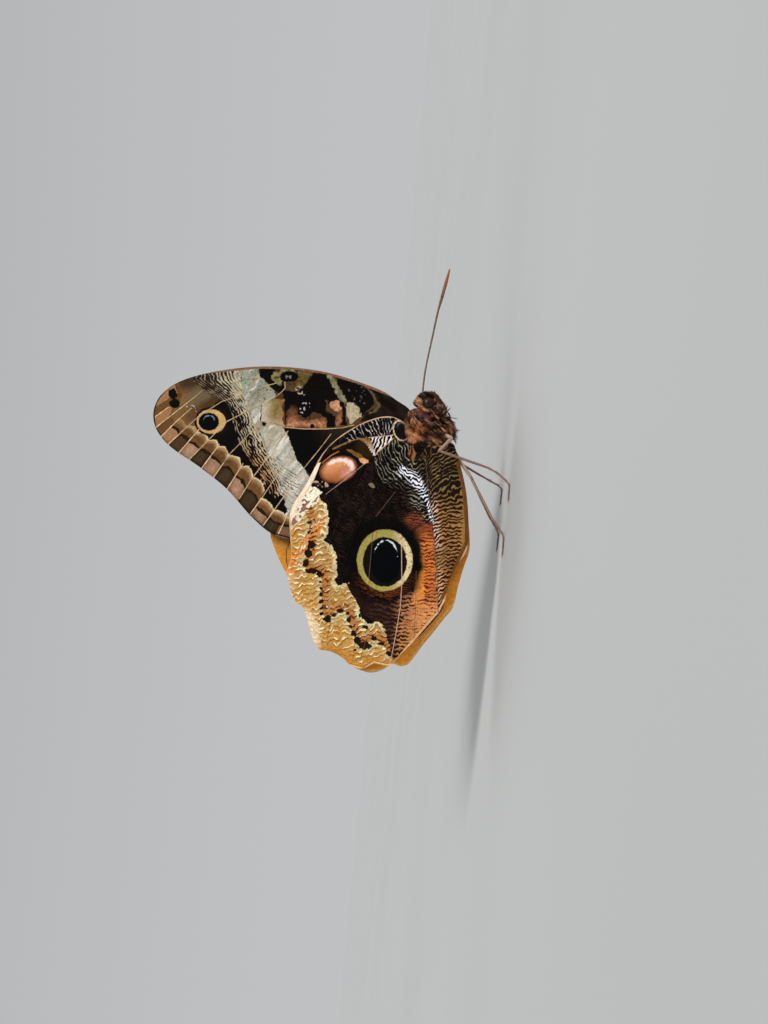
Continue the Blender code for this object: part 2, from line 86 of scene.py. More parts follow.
# Outlines in the body frame, (x, z), from the front of the root round the tip to the rear of the root.
FOREWING_OUTLINE = (
    (1.5, 5.0), (3.5, 6.5), (5.9, 10.0), (8.1, 13.1), (11.4, 21.2), (14.2, 30.7), (15.6, 40.4), (15.9, 50.0),
    (15.2, 58.5), (13.1, 69.3), (10.4, 76.0), (6.6, 80.2), (2.0, 81.8), (-2.4, 81.0), (-7.2, 77.4),
    (-14.2, 67.6), (-20.4, 60.0), (-28.6, 52.7), (-33.4, 47.0), (-35.0, 42.0), (-34.0, 38.2), (-31.0, 34.6),
    (-18.3, 22.1), (-8.5, 12.6), (-3.5, 7.0), (-2.5, 3.5),
)
HINDWING_FRONT = (
    (-2.5, 3.0), (-1.4, 6.5), (0.8, 10.9), (0.8, 14.7), (-1.6, 21.2), (-5.6, 27.5), (-10.4, 32.0),
)
HINDWING_REAR = (
    (-20.7, -10.5), (-14.2, -9.1), (-9.7, -7.8), (-7.0, -6.6), (-7.6, -3.0), (-7.2, 1.0),
)
HINDWING_OUTLINE = (
    *HINDWING_FRONT,
    (-15.0, 34.5), (-19.5, 36.9), (-24.5, 40.1), (-28.0, 41.4), (-34.0, 41.3), (-40.7, 41.0),
    (-44.8, 42.3), (-49.3, 41.3), (-53.1, 40.0), (-55.3, 37.5), (-59.3, 36.1), (-63.4, 35.0),
    (-67.6, 32.7), (-68.1, 29.1), (-69.5, 26.3), (-72.3, 23.5), (-73.3, 20.1), (-71.9, 16.5),
    (-72.5, 13.2), (-71.6, 10.6), (-68.9, 8.4), (-61.1, 0.6), (-55.5, -3.7), (-50.0, -5.1),
    (-42.2, -8.4), (-39.0, -10.5), (-35.5, -11.2), (-28.0, -11.2),
    *HINDWING_REAR,
)
# The left hindwing is spread a little more, so that its rim shows past the right one.
LEFT_HINDWING_OUTLINE = (
    *HINDWING_FRONT,
    (-14.5, 35.0), (-19.5, 39.0), (-24.5, 42.8), (-29.5, 46.2), (-33.7, 47.3), (-37.4, 46.3),
    (-42.4, 44.2), (-45.7, 42.6), (-49.6, 41.4), (-53.2, 40.0), (-55.5, 37.4), (-59.5, 36.2),
    (-63.6, 35.0), (-67.8, 32.8), (-68.6, 29.4), (-70.0, 26.6), (-73.4, 22.2), (-74.9, 17.6),
    (-74.0, 14.0), (-72.3, 11.0), (-73.0, 8.5), (-72.4, 6.4), (-70.2, 4.5), (-66.8, 2.1),
    (-63.2, -0.9), (-59.2, -4.0), (-55.6, -6.9), (-49.2, -8.5), (-44.1, -10.0), (-38.6, -11.9),
    (-34.5, -12.0), (-28.0, -11.4),
    *HINDWING_REAR,
)
# Main veins in the body frame, (x, z), each from its root to the margin.
FOREWING_VEINS = {
    "subcosta": ((3.0, 7.5), (10.6, 23.6), (13.9, 38.3), (15.3, 50.0)),
    "radius": ((2.4, 7.3), (8.3, 23.6), (10.6, 35.4), (11.2, 42.9), (12.7, 49.0), (11.5, 57.5),
               (8.7, 67.3), (3.3, 75.0), (-1.8, 80.2)),
    "media_1": ((11.2, 42.9), (10.1, 48.7), (6.4, 58.9), (1.1, 68.5), (-6.9, 77.0)),
    "cell_end": ((11.2, 42.9), (6.6, 46.2), (3.8, 49.9), (-0.2, 50.0)),
    "media_2": ((6.6, 46.2), (1.3, 56.6), (-6.2, 66.1), (-11.5, 71.0)),
    "cubitus": ((-0.5, 7.4), (-1.6, 22.4), (-2.7, 30.7), (-2.2, 42.5), (-0.2, 50.0), (-10.0, 59.2),
                (-16.7, 63.9)),
    "cubitus_1": ((-2.2, 42.5), (-9.5, 46.6), (-17.8, 53.0), (-23.6, 56.8)),
    "cubitus_2": ((-2.7, 30.7), (-8.6, 32.6), (-17.1, 40.3), (-30.6, 50.0)),
    "anal": ((-2.0, 8.0), (-9.4, 21.5), (-18.6, 34.6), (-26.6, 41.3), (-33.6, 44.6)),
}
HINDWING_VEINS = {
    "costal": ((-4.4, 9.5), (-5.0, 17.0), (-8.3, 25.7), (-13.9, 32.0), (-22.5, 37.6)),
    "radial": ((-4.4, 9.5), (-10.8, 16.2), (-17.4, 26.3), (-27.5, 33.5), (-44.0, 41.4)),
    "media_1": ((-14.0, 19.6), (-27.0, 25.5), (-46.5, 33.6), (-54.6, 37.4)),
    "media_2": ((-15.5, 14.5), (-34.0, 22.0), (-58.0, 30.5), (-67.0, 32.2)),
    "media_3": ((-13.0, 11.0), (-28.7, 15.2), (-47.2, 18.1), (-60.0, 21.5), (-71.9, 23.2)),
    "cubitus_1": ((-8.8, 8.0), (-19.8, 9.7), (-33.3, 8.4), (-53.7, 8.7), (-71.5, 11.6)),
    "cubitus_2": ((-19.8, 9.7), (-34.0, 5.2), (-46.3, 4.2), (-56.6, 3.9), (-65.0, 4.9)),
    "anal": ((-9.5, 4.2), (-17.7, 2.7), (-29.5, -0.9), (-46.0, -2.1), (-57.6, -2.2)),
}

# Body sections, front to rear: (x, z of the middle, half height, half width, forward lean of the top).
THORAX_SECTIONS = (
    (2.2, 1.9, 2.3, 2.0, 0.55), (1.4, 1.9, 4.0, 3.3, 0.5), (-0.6, 1.4, 5.8, 4.4, 0.35),
    (-2.8, 1.3, 6.6, 4.9, 0.2), (-5.2, 0.6, 6.4, 4.8, 0.05), (-7.4, -0.4, 5.4, 3.9, 0.0),
    (-9.2, -1.1, 3.3, 2.8, 0.0),
)
HEAD_SECTIONS = (
    (8.0, 0.9, 0.9, 1.0, 0.0), (7.4, 0.9, 2.1, 2.2, 0.0), (6.2, 0.9, 3.0, 2.9, 0.05),
    (4.7, 1.1, 3.4, 3.1, 0.15), (3.4, 1.5, 3.0, 2.7, 0.35), (2.56, 1.9, 2.2, 1.9, 0.55),
)
ABDOMEN_PROFILE = (
    (-9.5, -1.2, 2.7), (-12.5, -2.2, 3.4), (-16.0, -3.1, 3.65), (-20.0, -3.9, 3.65), (-24.0, -4.7, 3.3),
    (-28.0, -5.4, 2.7), (-31.5, -5.9, 1.9), (-34.0, -6.2, 1.1),
)
ABDOMEN_SEGMENTS = 7
SEGMENT_GROOVE = 0.22
# Routes and radii of the flesh that joins these: neck, waist, throat and breast.
FLESH_BRIDGES = (
    (((2.2, 0, 1.6), (3.0, 0, 1.6), (4.0, 0, 1.4)), (1.9, 1.9, 1.9)),
    (((-7.6, 0, -1.2), (-9.2, 0, -1.4), (-11.5, 0, -2.0)), (2.2, 2.0, 2.3)),
    (((3.4, 0, -0.2), (1.6, 0, -1.2), (0.4, 0, -2.6), (-0.4, 0, -3.8)), (1.5, 1.5, 1.5, 1.3)),
    (((-0.2, 0, -3.2), (-1.8, 0, -4.5), (-3.6, 0, -5.0)), (1.3, 1.5, 1.3)),
)
# Middle line of the whole body, (x, z), and its ends, for the map of the skin.
BODY_REAR, BODY_FRONT = -34.5, 10.0
BODY_AXIS = ((-34.0, -6.2), (-24.0, -4.7), (-16.0, -3.1), (-9.5, -1.4), (-4.0, 0.9), (1.0, 1.7), (5.0, 0.6),
             (9.0, -0.4))

# Coat: how far the skin lies inside the solids, its net, and the hair in tufts.
COAT_DEPTH = 0.55
SKIN_VOXEL = 0.2
TUFT_PATCH = 0.003
HAIR_STEPS = (0.0, 0.4, 0.75, 1.0)
HAIR_THICKNESS = (0.8, 1.0, 0.62, 0.08)
BRIGHTEST_HAIR = 0.9
FIRST_COAT_SEED = 101
# number of tufts, length, rise off the skin, hairs in each, half width of a hair, spread of its roots
Coat = namedtuple("Coat", "count length rise hairs width spread")
# where it grows in the body's side view: boxes of x from, x to, z from, z to, twice as thick in two at once
ANY = math.inf
ON_THORAX = ((-9.6, 2.8, -6.9, ANY),)
ON_BREAST = ((-7.0, 3.0, -5.6, -1.2),)
ON_HEAD = ((2.4, ANY, -ANY, ANY), (2.4, ANY, -ANY, -1.0))
ON_PALPS = ((-0.5, ANY, -ANY, -1.6),)
ON_ABDOMEN = ((-ANY, -8.6, -ANY, ANY),)
ON_FORELEGS = ((-6.5, 1.4, -ANY, -4.2),)
EYE_CLEAR = 1.08
COATS = (
    ("thorax_coat_long", ON_THORAX, Coat(1150, 3.1, 0.27, 9, 0.062, 0.2)),
    ("thorax_coat_under", ON_THORAX, Coat(1750, 1.5, 0.36, 5, 0.07, 0.14)),
    ("breast_coat", ON_BREAST, Coat(900, 1.6, 0.45, 5, 0.065, 0.14)),
    ("head_coat_long", ON_HEAD, Coat(1000, 1.7, 0.42, 5, 0.055, 0.13)),
    ("head_coat_under", ON_HEAD, Coat(2500, 0.8, 0.45, 3, 0.045, 0.07)),
    ("palp_coat", ON_PALPS, Coat(1900, 0.62, 0.4, 3, 0.04, 0.06)),
    ("abdomen_coat", ON_ABDOMEN, Coat(2400, 0.95, 0.25, 3, 0.055, 0.08)),
    ("foreleg_coat", ON_FORELEGS, Coat(1200, 0.6, 0.35, 3, 0.04, 0.06)),
)
WING_FUR = ((-1.0, 4.5), (5.4, 3.3))
WING_FUR_NET = 0.35
WING_FUR_SEED = 120
WING_FUR_COAT = Coat(760, 2.1, 0.22, 6, 0.06, 0.16)
# patches of the thorax in the body's side view, a painted bluish sheen and an orange patch lit as a painted
# highlight: centre and radii
BLUISH_SHEEN_PATCH = ((1.4, 2.2), (2.2, 3.0))
ORANGE_HIGHLIGHT_PATCH = ((-2.6, 4.4), (3.0, 2.0))
# a dark seam down the thorax and the upper edge of the abdomen's pale side: a point on each, and its slope
SEAM_AT, SEAM_SLOPE = (-1.7, 2.2), 0.35
PALE_SIDE_AT, PALE_SIDE_SLOPE = (-9.5, -1.2), 0.2
# fades of colour and lie: along x or z, and the places where one begins and where it is all in
BODY_FADES = {
    "seam": ("z", 4.2, 2.2), "threads": ("x", -8.6, -7.6),
    "breast": ("z", -2.6, -5.0), "breast front": ("x", -8, -4), "upper back": ("z", 5.5, 7.5),
    "abdomen": ("x", -8.6, -10.4), "head": ("x", 2.4, 3.4),
    "crown": ("z", 2.2, 3.4), "cheek": ("z", 0.8, -1.0),
    "palps": ("x", 1.0, 2.0), "palps low": ("z", -1.6, -2.4),
    "flank": ("z", 6.5, 3.5), "flank front": ("x", -8.5, -6.0), "head lie": ("x", 2.6, 4.2),
    "palp lie": ("x", 1.0, 2.2), "palp lie low": ("z", -1.4, -2.4),
}

# Eyes, antennae, palps and tongue, for the right side where a part is one of a pair.
EYE_AT = (5.0, -2.25, 0.45)
EYE_RADII = (1.65, 1.35, 1.8)
ANTENNA_ROUTE = ((5.6, -0.9, 2.2), (8.6, -1.5, 2.1), (15.0, -3.3, 1.3), (24.0, -6.2, -0.6),
                 (33.0, -9.2, -2.6), (39.0, -11.1, -4.3), (43.0, -12.1, -5.4))
ANTENNA_RADII = (0.34, 0.27, 0.26, 0.27, 0.32, 0.52, 0.24)
ANTENNA_RING = 0.62
PALP_ROUTE = ((3.0, -1.1, -1.2), (2.0, -1.3, -2.8), (2.2, -1.35, -3.9), (3.6, -1.3, -3.85), (5.3, -1.2, -2.9),
              (6.9, -1.05, -1.9), (8.2, -0.85, -0.7))
PALP_RADII = (0.5, 0.62, 0.72, 0.72, 0.58, 0.4, 0.22)
TONGUE_STEM = ((3.1, 0.0, -1.0), (2.8, 0.0, -2.9))
TONGUE_CENTRE = (0.9, -4.4)
TONGUE_TURNS = 1.6
TONGUE_OUTER = 1.75
TONGUE_PITCH = 0.85
TONGUE_RADIUS = 0.26
TONGUE_STEPS = 220
TONGUE_RIBS = 90
# Legs: body-frame points as far as the knee, then points over the floor (x from the thorax, y, height).
TOE_RADIUS = 0.3
TOE_HEIGHT = TOE_RADIUS * math.cos(math.pi / 6)
LIMB_SIDES = 16
LEG_RADII = (0.6, 0.5, 0.46, 0.36, 0.3, 0.28, 0.27, 0.25, 0.24, 0.2)
# parts of a leg counted from the hip: the shin, and the first joint of the toe
SHIN, FIRST_TOE = 3, 6
# length and half width
BRISTLE = (0.42, 0.035)
SPUR = (0.9, 0.07)
# a claw's points: ahead of the toe, beside it and above it
CLAW = ((0, 0.12, 0), (0.32, 0.22, 0.12), (0.62, 0.3, 0), (0.78, 0.3, -0.18))
FORELEG_ROUTE = ((-0.2, -1.6, -2.6), (0.6, -2.5, -4.1), (0.1, -2.5, -5.1), (-2.4, -1.9, -6.1),
                 (-5.2, -1.1, -6.5))
FORELEG_RADII = (0.5, 0.55, 0.6, 0.5, 0.26)
LEGS = {
    "midleg_right": {
        "body": ((-4.3, -1.6, -4.2), (-5.4, -3.4, -6.4), (-7.2, -6.6, -4.6), (-9.4, -10.2, -2.4)),
        "floor": ((-12.8, -12.0, 6.7), (-14.0, -12.9, 4.05), (-15.9, -13.8, 1.55),
                  (-17.2, -14.2, TOE_HEIGHT), (-19.2, -14.8, TOE_HEIGHT), (-21.8, -15.6, TOE_HEIGHT)),
    },
    "midleg_left": {
        "body": ((-4.3, 1.6, -4.2), (-5.4, 3.4, -6.4), (-7.0, 6.2, -5.0), (-8.7, 9.2, -3.3)),
        "floor": ((-14.2, 11.8, 8.1), (-15.9, 12.9, 4.2), (-17.0, 13.7, 1.6),
                  (-18.1, 14.2, TOE_HEIGHT), (-20.2, 14.8, TOE_HEIGHT), (-22.8, 15.6, TOE_HEIGHT)),
    },
    "hindleg_right": {
        "body": ((-6.2, -1.2, -3.4), (-8.4, -1.8, -6.6), (-12.5, -2.4, -9.1), (-17.0, -3.4, -12.0)),
        "floor": ((-27.6, -9.4, 3.8), (-29.4, -10.0, 2.3), (-31.0, -10.4, 1.0),
                  (-32.5, -10.7, TOE_HEIGHT), (-34.5, -11.1, TOE_HEIGHT), (-37.5, -11.7, TOE_HEIGHT)),
    },
    "hindleg_left": {
        "body": ((-6.2, 1.2, -3.4), (-8.4, 1.8, -6.6), (-12.3, 2.5, -9.2), (-16.6, 3.6, -12.4)),
        "floor": ((-26.8, 9.8, 3.6), (-28.7, 10.5, 2.2), (-30.3, 11.0, 1.0),
                  (-31.8, 11.4, TOE_HEIGHT), (-33.6, 11.9, TOE_HEIGHT), (-36.6, 12.7, TOE_HEIGHT)),
    },
}

# Stage, light and camera.
FLOOR_REACH = 40.0
ROOM_LOW, ROOM_HIGH = 0.535, 0.42
ROOM_TINT = (0.97, 0.985, 1.0, 1.0)
# name, direction, strength, width in degrees, tint
SUNS = (
    ("key", (0.45, -0.55, 0.5), 2.4, 22.0, (1.0, 0.97, 0.93)),
    ("fill", (-0.6, -0.6, 0.35), 0.4, 45.0, (0.94, 0.97, 1.0)),
    ("rim", (0.2, 0.6, 0.6), 0.8, 30.0, (1.0, 1.0, 1.0)),
)
CAMERA_AT = (-11.85, -482.0, 35.45)
FOCAL_PIXELS = 1627.1
PHOTO_HEIGHT = 1024
SENSOR = 36.0
EVEN, STRAIGHT = (1.0, 1.0, 1.0), (0.0, 0.0, 0.0)

# Painting: layers of marks, the softness of their edges, and the depth of a place without any.
LAYERS = 3
EDGE_SOFT = 0.07
EMPTY = 9.0
LATTICE = 128
LATTICE_SHIFT = 300.0
# size of the clouds, size of the ragged edges, first seed
UNEVENNESS = {"forewing": (14.0, 2.6, 11), "hindwing": (12.0, 2.8, 41), "inner": (13.0, 2.6, 71)}
PAINTED = {}
# spacing of wavy lines and bars, in pixels
SILVER_PERIOD = 2.9
ZIGZAG_PERIOD = 5.2
NET_PERIOD = 2.7
FAN_PERIOD = 4.4
COLUMN_PERIOD = 3.5
STRIP_PERIOD = 3.7
ROOT_PERIOD = 3.4
LEAD_PERIOD = 3.4
WEDGE_PERIOD = 3.5
VEIN_HALF = 0.42
SPOT_GROWTH = 1.12

# Places on the forewing, in photograph pixels.
OUTER_MARGIN = ((162, 393), (155.7, 402), (152.9, 413.6), (154.8, 427), (160.5, 436.5), (167.2, 444.2),
                (177.7, 452.8), (187.8, 460.4), (200.7, 468.1), (212.7, 478.1), (226.5, 489.2), (237, 502),
                (251.5, 517.2), (268.5, 531.8), (290, 538))
MARGIN_RAYS = (((153, 408), (172, 396)), ((153.5, 417), (168, 406.9)), ((155.7, 427), (201.7, 390.6)),
               ((160.5, 436.5), (191, 407.8)), ((167.2, 444.7), (197.8, 416.4)),
               ((178.2, 452.8), (198.8, 428.9)), ((187.8, 460.4), (226.5, 421.2)),
               ((201.2, 468.1), (218.9, 444.2)), ((212.7, 478.1), (229.4, 453.8)),
               ((226.5, 489.2), (242.8, 463.3)), ((239, 498.7), (250.4, 480.5)), ((251, 514), (262, 495)),
               ((262.8, 525.6), (278, 504)), ((274, 536), (286, 514)))
ZEBRA_ZONE = ((191, 377), (197, 372.5), (217, 369.5), (238, 368), (241, 376), (241.5, 386), (243, 396),
              (246, 406), (250, 416), (255, 425), (261, 435), (266, 446), (270, 455), (275, 465), (279, 475),
              (281, 485), (279, 496), (272, 498), (266, 487), (260, 477), (253, 465), (246, 455), (240, 445),
              (236, 435), (233, 425), (230, 414), (227, 404), (219, 398.5), (210, 394), (202, 388),
              (193, 383))
# the zebra band at heights down the wing: height, left side, right side, how many lines
ZEBRA_SPANS = ((366, 188, 239, 12.5), (380, 193, 241.5, 12.0), (395, 217, 243, 9.5), (408, 228, 247, 6.5),
               (425, 233, 256, 7.5), (445, 240, 266, 8.0), (465, 254, 276, 7.0), (485, 267, 282, 5.0),
               (500, 274, 283, 3.5))
SILVER_PATCH = ((234, 364), (258.7, 364), (258.4, 372), (263, 378), (266, 382), (272, 388), (276.5, 394),
                (274, 398.5), (263, 402), (261.5, 420.5), (285, 427.5), (290, 436), (294.5, 445),
                (298, 457.6), (304, 469), (312, 480), (300, 505), (296, 540), (285, 530), (286, 518),
                (279, 508), (262, 484), (250, 460), (236, 430), (230, 400))
BLACK_BAND = ((214, 404), (221, 399), (233, 401), (238, 412), (244, 424), (250, 437), (256, 448), (263, 462),
              (269, 474), (276, 487), (284, 500), (287, 512), (281, 520), (268, 515), (245, 500), (225, 475),
              (203, 452), (188, 436), (200, 434), (214, 430), (224, 420), (221, 410))
ROOT_BLACKS = (
    ((258.7, 367), (274, 367), (277, 374), (282, 380), (284, 388), (280, 394), (272, 388), (265, 380),
     (259.5, 376)),
    ((282, 390), (298, 392), (314, 372), (330, 374), (334, 385), (340, 398), (336, 402), (326, 400),
     (326, 411), (337, 417), (336, 427), (322, 427), (322, 414), (311, 411), (306, 420), (298, 412),
     (293, 405), (296, 425), (285, 426), (284, 402)),
    ((336, 373), (350, 379), (366, 386), (372, 394), (374, 404), (366, 412), (357, 421), (354, 411),
     (351, 402), (346, 402), (342, 394), (337, 384)),
    ((338, 402), (343, 403), (345, 412), (343, 425), (337, 426), (341, 414)),
)
COSTAL_OVAL = ((289.0, 376.3), (9.2, 5.2))
CELL_CREAM = ((346, 403), (352, 402.5), (359, 408), (361, 416), (356, 420), (350, 423), (346, 414))
CELL_STRIPE = ((330, 376), (336.7, 388), (340, 395.8), (344.5, 401))
CELL_BAR = ((341.5, 403), (344.5, 410), (343.5, 417), (345, 424))
CELL_HOOK = ((366, 386), (374, 395), (379, 406.6), (375, 411), (370, 413))
ROOT_FIELD = ((366, 384), (385, 392), (412, 403), (420, 425), (400, 421), (380, 417), (360, 422), (366, 412),
              (378, 407), (374, 396))
SALMON_PATCHES = (
    ((285.5, 428), (286.5, 412), (290, 405), (296, 404), (299, 412), (302, 419), (312, 419.5), (319, 416),
     (326.5, 417), (326.5, 428)),
    ((328, 402), (337, 401), (344, 408), (345, 417), (340, 426), (335, 426), (336, 413), (330, 408)),
)
TAN_CELL = ((262, 402), (274, 398), (284, 400), (281, 407), (284, 413), (282, 419), (285, 426), (275, 424),
            (261.5, 420))
BEIGE_COSTA = ((298, 371), (316, 372), (315, 381), (308, 392), (300, 389), (296, 383))
BLACK_WEDGE = ((282, 426.5), (318, 429.5), (353, 427), (330, 443), (318, 460), (311, 477), (303, 467),
               (296, 459), (293, 451), (290.5, 442), (287, 434))
CELL_CRACK = ((261.4, 405.5), (262.2, 408), (260.6, 411), (261.8, 414.5), (260.4, 418), (260.8, 420.5))
FOREWING_LINES = (
    ((354, 425), (342, 427.8), (325.9, 428.8), (304.2, 428.8), (285.8, 427.2), (260.8, 420.7)),
    ((261.1, 414.2), (260.9, 406.6)),
    ((273.4, 397.8), (281, 392), (284.9, 387.7), (284.7, 381.7)),
    ((154.8, 416.4), (168, 406.9)), ((155.7, 427), (201.7, 390.6)),
    ((160.5, 436.5), (175.8, 421.2), (191, 407.8)),
    ((167.2, 444.7), (197.8, 416.4), (221.7, 401), (230.4, 398.3), (264.8, 385.8), (275.3, 383)),
    ((178.2, 452.8), (198.8, 428.9)), ((201.2, 468.1), (218.9, 444.2)),
    ((187.8, 460.4), (226.5, 421.2), (238, 415.5), (273.4, 397.3)),
    ((212.7, 478.1), (229.4, 453.8), (260, 422.2)), ((226.5, 489.2), (242.8, 463.3)),
    ((239, 498.7), (250.4, 480.5), (272.5, 450), (287.8, 430.8)),
    ((250, 514), (261, 498.7), (272.5, 481.5), (293.5, 452.8)),
    ((262.8, 525.6), (304.9, 466.7), (319.4, 449), (331, 433.7)),
    ((278.2, 534), (290.2, 508.8), (310.5, 479.3)),
)
FORE_EYE = ((208.4, 421.5), (10.3, 9.0))
FORE_RING = ((210.7, 421.3), (14.6, 12.2))
WHITE_ARC = ((186.5, 406.5), (189, 404.5), (192.5, 405), (195, 408), (195.5, 411))
APEX_BLACKS = (((168, 390), (174, 388), (178, 396), (172, 400), (168, 396)),
               ((168, 402), (176, 398), (180, 402), (178, 407), (171, 408)))
TIP_PALE = ((200, 393.5), (18, 9), -30)
TIP_DARK = ((229, 404), (12, 10), 20)
SILVER_FOOT = ((262, 462), (276, 456), (302, 480), (298, 525), (278, 522))
SILVER_RINGS = (400, 300)
FORE_SURROUND = ((212, 421.3), (18.0, 15.0))
FORE_GLINT = (((208.6, 419.2), (5.8, 4.4)), ((208.4, 420.6), (5.0, 4.6)))
CELL_BLACK = ((306, 407), (7.5, 11.5), 8)
CELL_TAN = ((336.5, 406), (6.0, 5.5))
COSTAL_LOOP = ((286.5, 377.0), (14.5, 8.8))
LOOP_CORNER = (281.5, 372.0)
COSTAL_GLINT = ((288, 376.5), (5.5, 2.2))
CELL_FLECKS = (((304.5, 407), (4.5, 7.0), 35.0), ((300.5, 390.5), (6.0, 4.0), 35.0))
FIELD_CRUMBS = ((357, 394), (8, 14), -20)
CELL_DOTS = (((264, 423.5), (2.2, 2.4)), ((312, 426), (2.2, 2.4)))
FRONT_EDGE = ((162, 393), (175, 381), (195, 372.5), (217, 370.4), (240, 368), (258, 366.5), (293.4, 367),
              (325.9, 371.9), (358.4, 381.7), (385.5, 392.5), (410.4, 403.4))
# the margin squares, counted from the tip: the first of a full size, and the narrow ones by the hindwing
TIP_SQUARES = 4
NARROW_SQUARES = 12

# Places on the hindwing, in photograph pixels.
HIND_BASE = (421, 437)
HIND_RING = ((384.8, 560.3), (28.0, 31.0))
HIND_HOLE = ((384.8, 561.9), (22.0, 24.8))
HIND_PUPIL = ((385.6, 560.8), (15.8, 22.5))
DISC_EDGE = ((312.6, 486.3), (322.4, 491.9), (318.9, 498.9), (325.9, 504.5), (328, 515.8), (329.5, 529.8),
             (324.5, 539.6), (333, 546.6), (336.5, 557.9), (336.9, 574.7), (334.4, 585.9), (349.6, 582.3),
             (355.4, 594.3), (358.6, 605.7), (361.6, 617), (367.8, 625), (372.9, 623), (379, 619), (383, 626),
             (388.7, 633.3), (390.2, 639.4), (395.3, 638.4), (402, 650), (440, 640), (480, 560), (480, 450),
             (440, 420), (400, 410), (350, 420), (318, 455), (306, 478))
COPPER = ((338.5, 469.5), (19.5, 13.2), -16.0)
COPPER_SURROUND = ((340.5, 468.5), (27.0, 18.5), -20.0)
UPPER_LOOP = ((333, 449), (345, 443.5), (356, 439), (364, 438.5), (369, 445), (373.5, 454), (369, 459),
              (358, 453), (347, 451), (336, 453))
LEAD_ZEBRA = ((343, 436), (352, 429.5), (361, 424), (371, 420), (382, 417), (395, 417), (402, 421),
              (396, 435), (380, 437), (368.5, 438), (358, 438.5), (349, 441))
WEDGE_ZEBRA = ((368.8, 437.8), (395, 435.2), (393.3, 439), (384, 446), (374, 456), (371, 452), (367, 444))
NARROW_WEDGE = ((358, 438.5), (368.5, 438), (373, 446), (375, 456), (370, 450), (366, 443))
BASE_OVAL = ((401, 431), (6.6, 9.4), -20.0)
BASE_SPOT = ((410.5, 445), (413, 445), (415.5, 456), (414, 462), (409.5, 462), (407.5, 456))
TAB = ((358.5, 458.5), (363, 458), (368.5, 460), (368.3, 463), (364, 464.3), (360.5, 462))
OLIVE_BAND = ((345.5, 449), (352, 450), (361, 454.5), (365.5, 458.5), (358.5, 458.8), (352, 453.5))
RIGHT_STRIP = ((421, 455), (428, 470), (431, 500), (433, 525), (435, 550), (436.5, 580), (437.5, 606),
               (441, 602), (470, 545), (474, 500), (466, 458), (450, 440), (430, 444))
ORANGE_COLUMN = ((412, 534), (420, 527), (432, 522), (434, 540), (436, 575), (438, 611), (425, 625),
                 (414, 640), (398, 652), (402, 620), (412, 596), (419, 570), (420, 545))
LOWER_FAN = ((346, 583), (360, 588), (372, 594), (388, 598), (402, 596), (416, 588), (430, 590), (437, 612),
             (415, 638), (394, 660), (388, 640), (381, 622), (372, 620), (362, 612), (354, 596))
GLARE_RIDGE = ((403, 471), (414, 478), (421, 489), (427, 501), (431, 514), (434, 524))
SPOT_CHAIN = ((300, 500), (309.5, 522.5), (308, 545), (305, 561), (306.5, 569.5), (315, 571.5), (321.7, 575),
              (321.7, 593), (322.3, 613.3), (327, 618.7), (335, 615.3), (341.7, 610), (348.3, 614.7),
              (349.7, 626.7), (353.7, 633.3), (357.7, 641.3), (365.7, 646), (373.7, 638.7), (381.7, 642),
              (388.3, 653.3))
FLAME = ((325, 517), (316, 531), (303, 546), (289, 570))
WHITE_FLASH = ((311, 483), (324, 487), (322, 494), (316, 503), (306, 512), (298, 524), (291, 530), (289, 508),
               (299, 494))
BORDER_SPOTS = (
    ((309.8, 522.8), 2.2, 1.4), ((309.5, 532.5), 2.0, 1.5), ((311, 545), 3.4, 4.4), ((308.5, 553), 3.2, 4.0),
    ((305.5, 563), 2.6, 3.4), ((312, 571), 6.2, 2.2), ((320.3, 574.5), 3.2, 2.2), ((321.4, 582), 1.9, 1.5),
    ((321.4, 588), 1.8, 1.5), ((321.4, 594), 1.8, 1.6), ((321.7, 601.4), 2.0, 1.7), ((321.6, 608), 1.6, 1.6),
    ((322.0, 614), 1.8, 1.6), ((327.3, 619), 3.4, 3.2), ((334.2, 615.4), 2.2, 1.6), ((341, 611), 3.6, 1.5),
    ((347.5, 613.5), 1.9, 1.9), ((348.9, 620.5), 1.9, 2.0), ((349.9, 626.6), 1.6, 1.6),
    ((353.6, 633.4), 3.0, 2.6), ((357.5, 640.4), 3.2, 3.2), ((364.7, 645.4), 6.0, 3.6),
    ((365.2, 627.1), 2.8, 1.7), ((373.9, 638.4), 2.6, 2.0), ((381, 643.5), 3.6, 1.9),
    ((389.2, 653.7), 2.6, 2.4), ((360.5, 615), 1.4, 3.0), ((355.0, 650), 1.3, 1.2),
)
HINDWING_LINES = (
    ((401.4, 539.4), (401.9, 583.3), (400.4, 606.7), (395.3, 637.3), (390.2, 663.5)),
    ((393.3, 438.8), (373.9, 455.6)), ((368.8, 437.8), (393.3, 435.4)),
    ((288, 574), (297, 560), (306, 541), (316, 523), (326, 513)),
    ((303, 606), (311, 592), (317, 580)),
)
HINDWING_FAINT = (
    ((425, 456), (428.5, 492), (432, 522), (435.1, 545.5), (437.1, 581.2), (438.2, 611.8)),
    ((416.2, 571), (415.7, 611.8), (413.7, 638.4)), ((372.9, 532.2), (368.8, 579.2)),
    ((395.3, 491.8), (375.9, 516.3)), ((366, 640), (360, 660)), ((332, 612), (327, 640)),
)
LEAD_EDGE = ((400.7, 420.7), (393, 417), (380, 417.5), (369.3, 420.7), (358.4, 425), (347.6, 431.6),
             (336.7, 439), (328, 446.7), (321.6, 455.4), (317.2, 464), (307.5, 479.3), (293.7, 503),
             (290.2, 510), (290.2, 527), (291, 557.8), (286.7, 571.8))
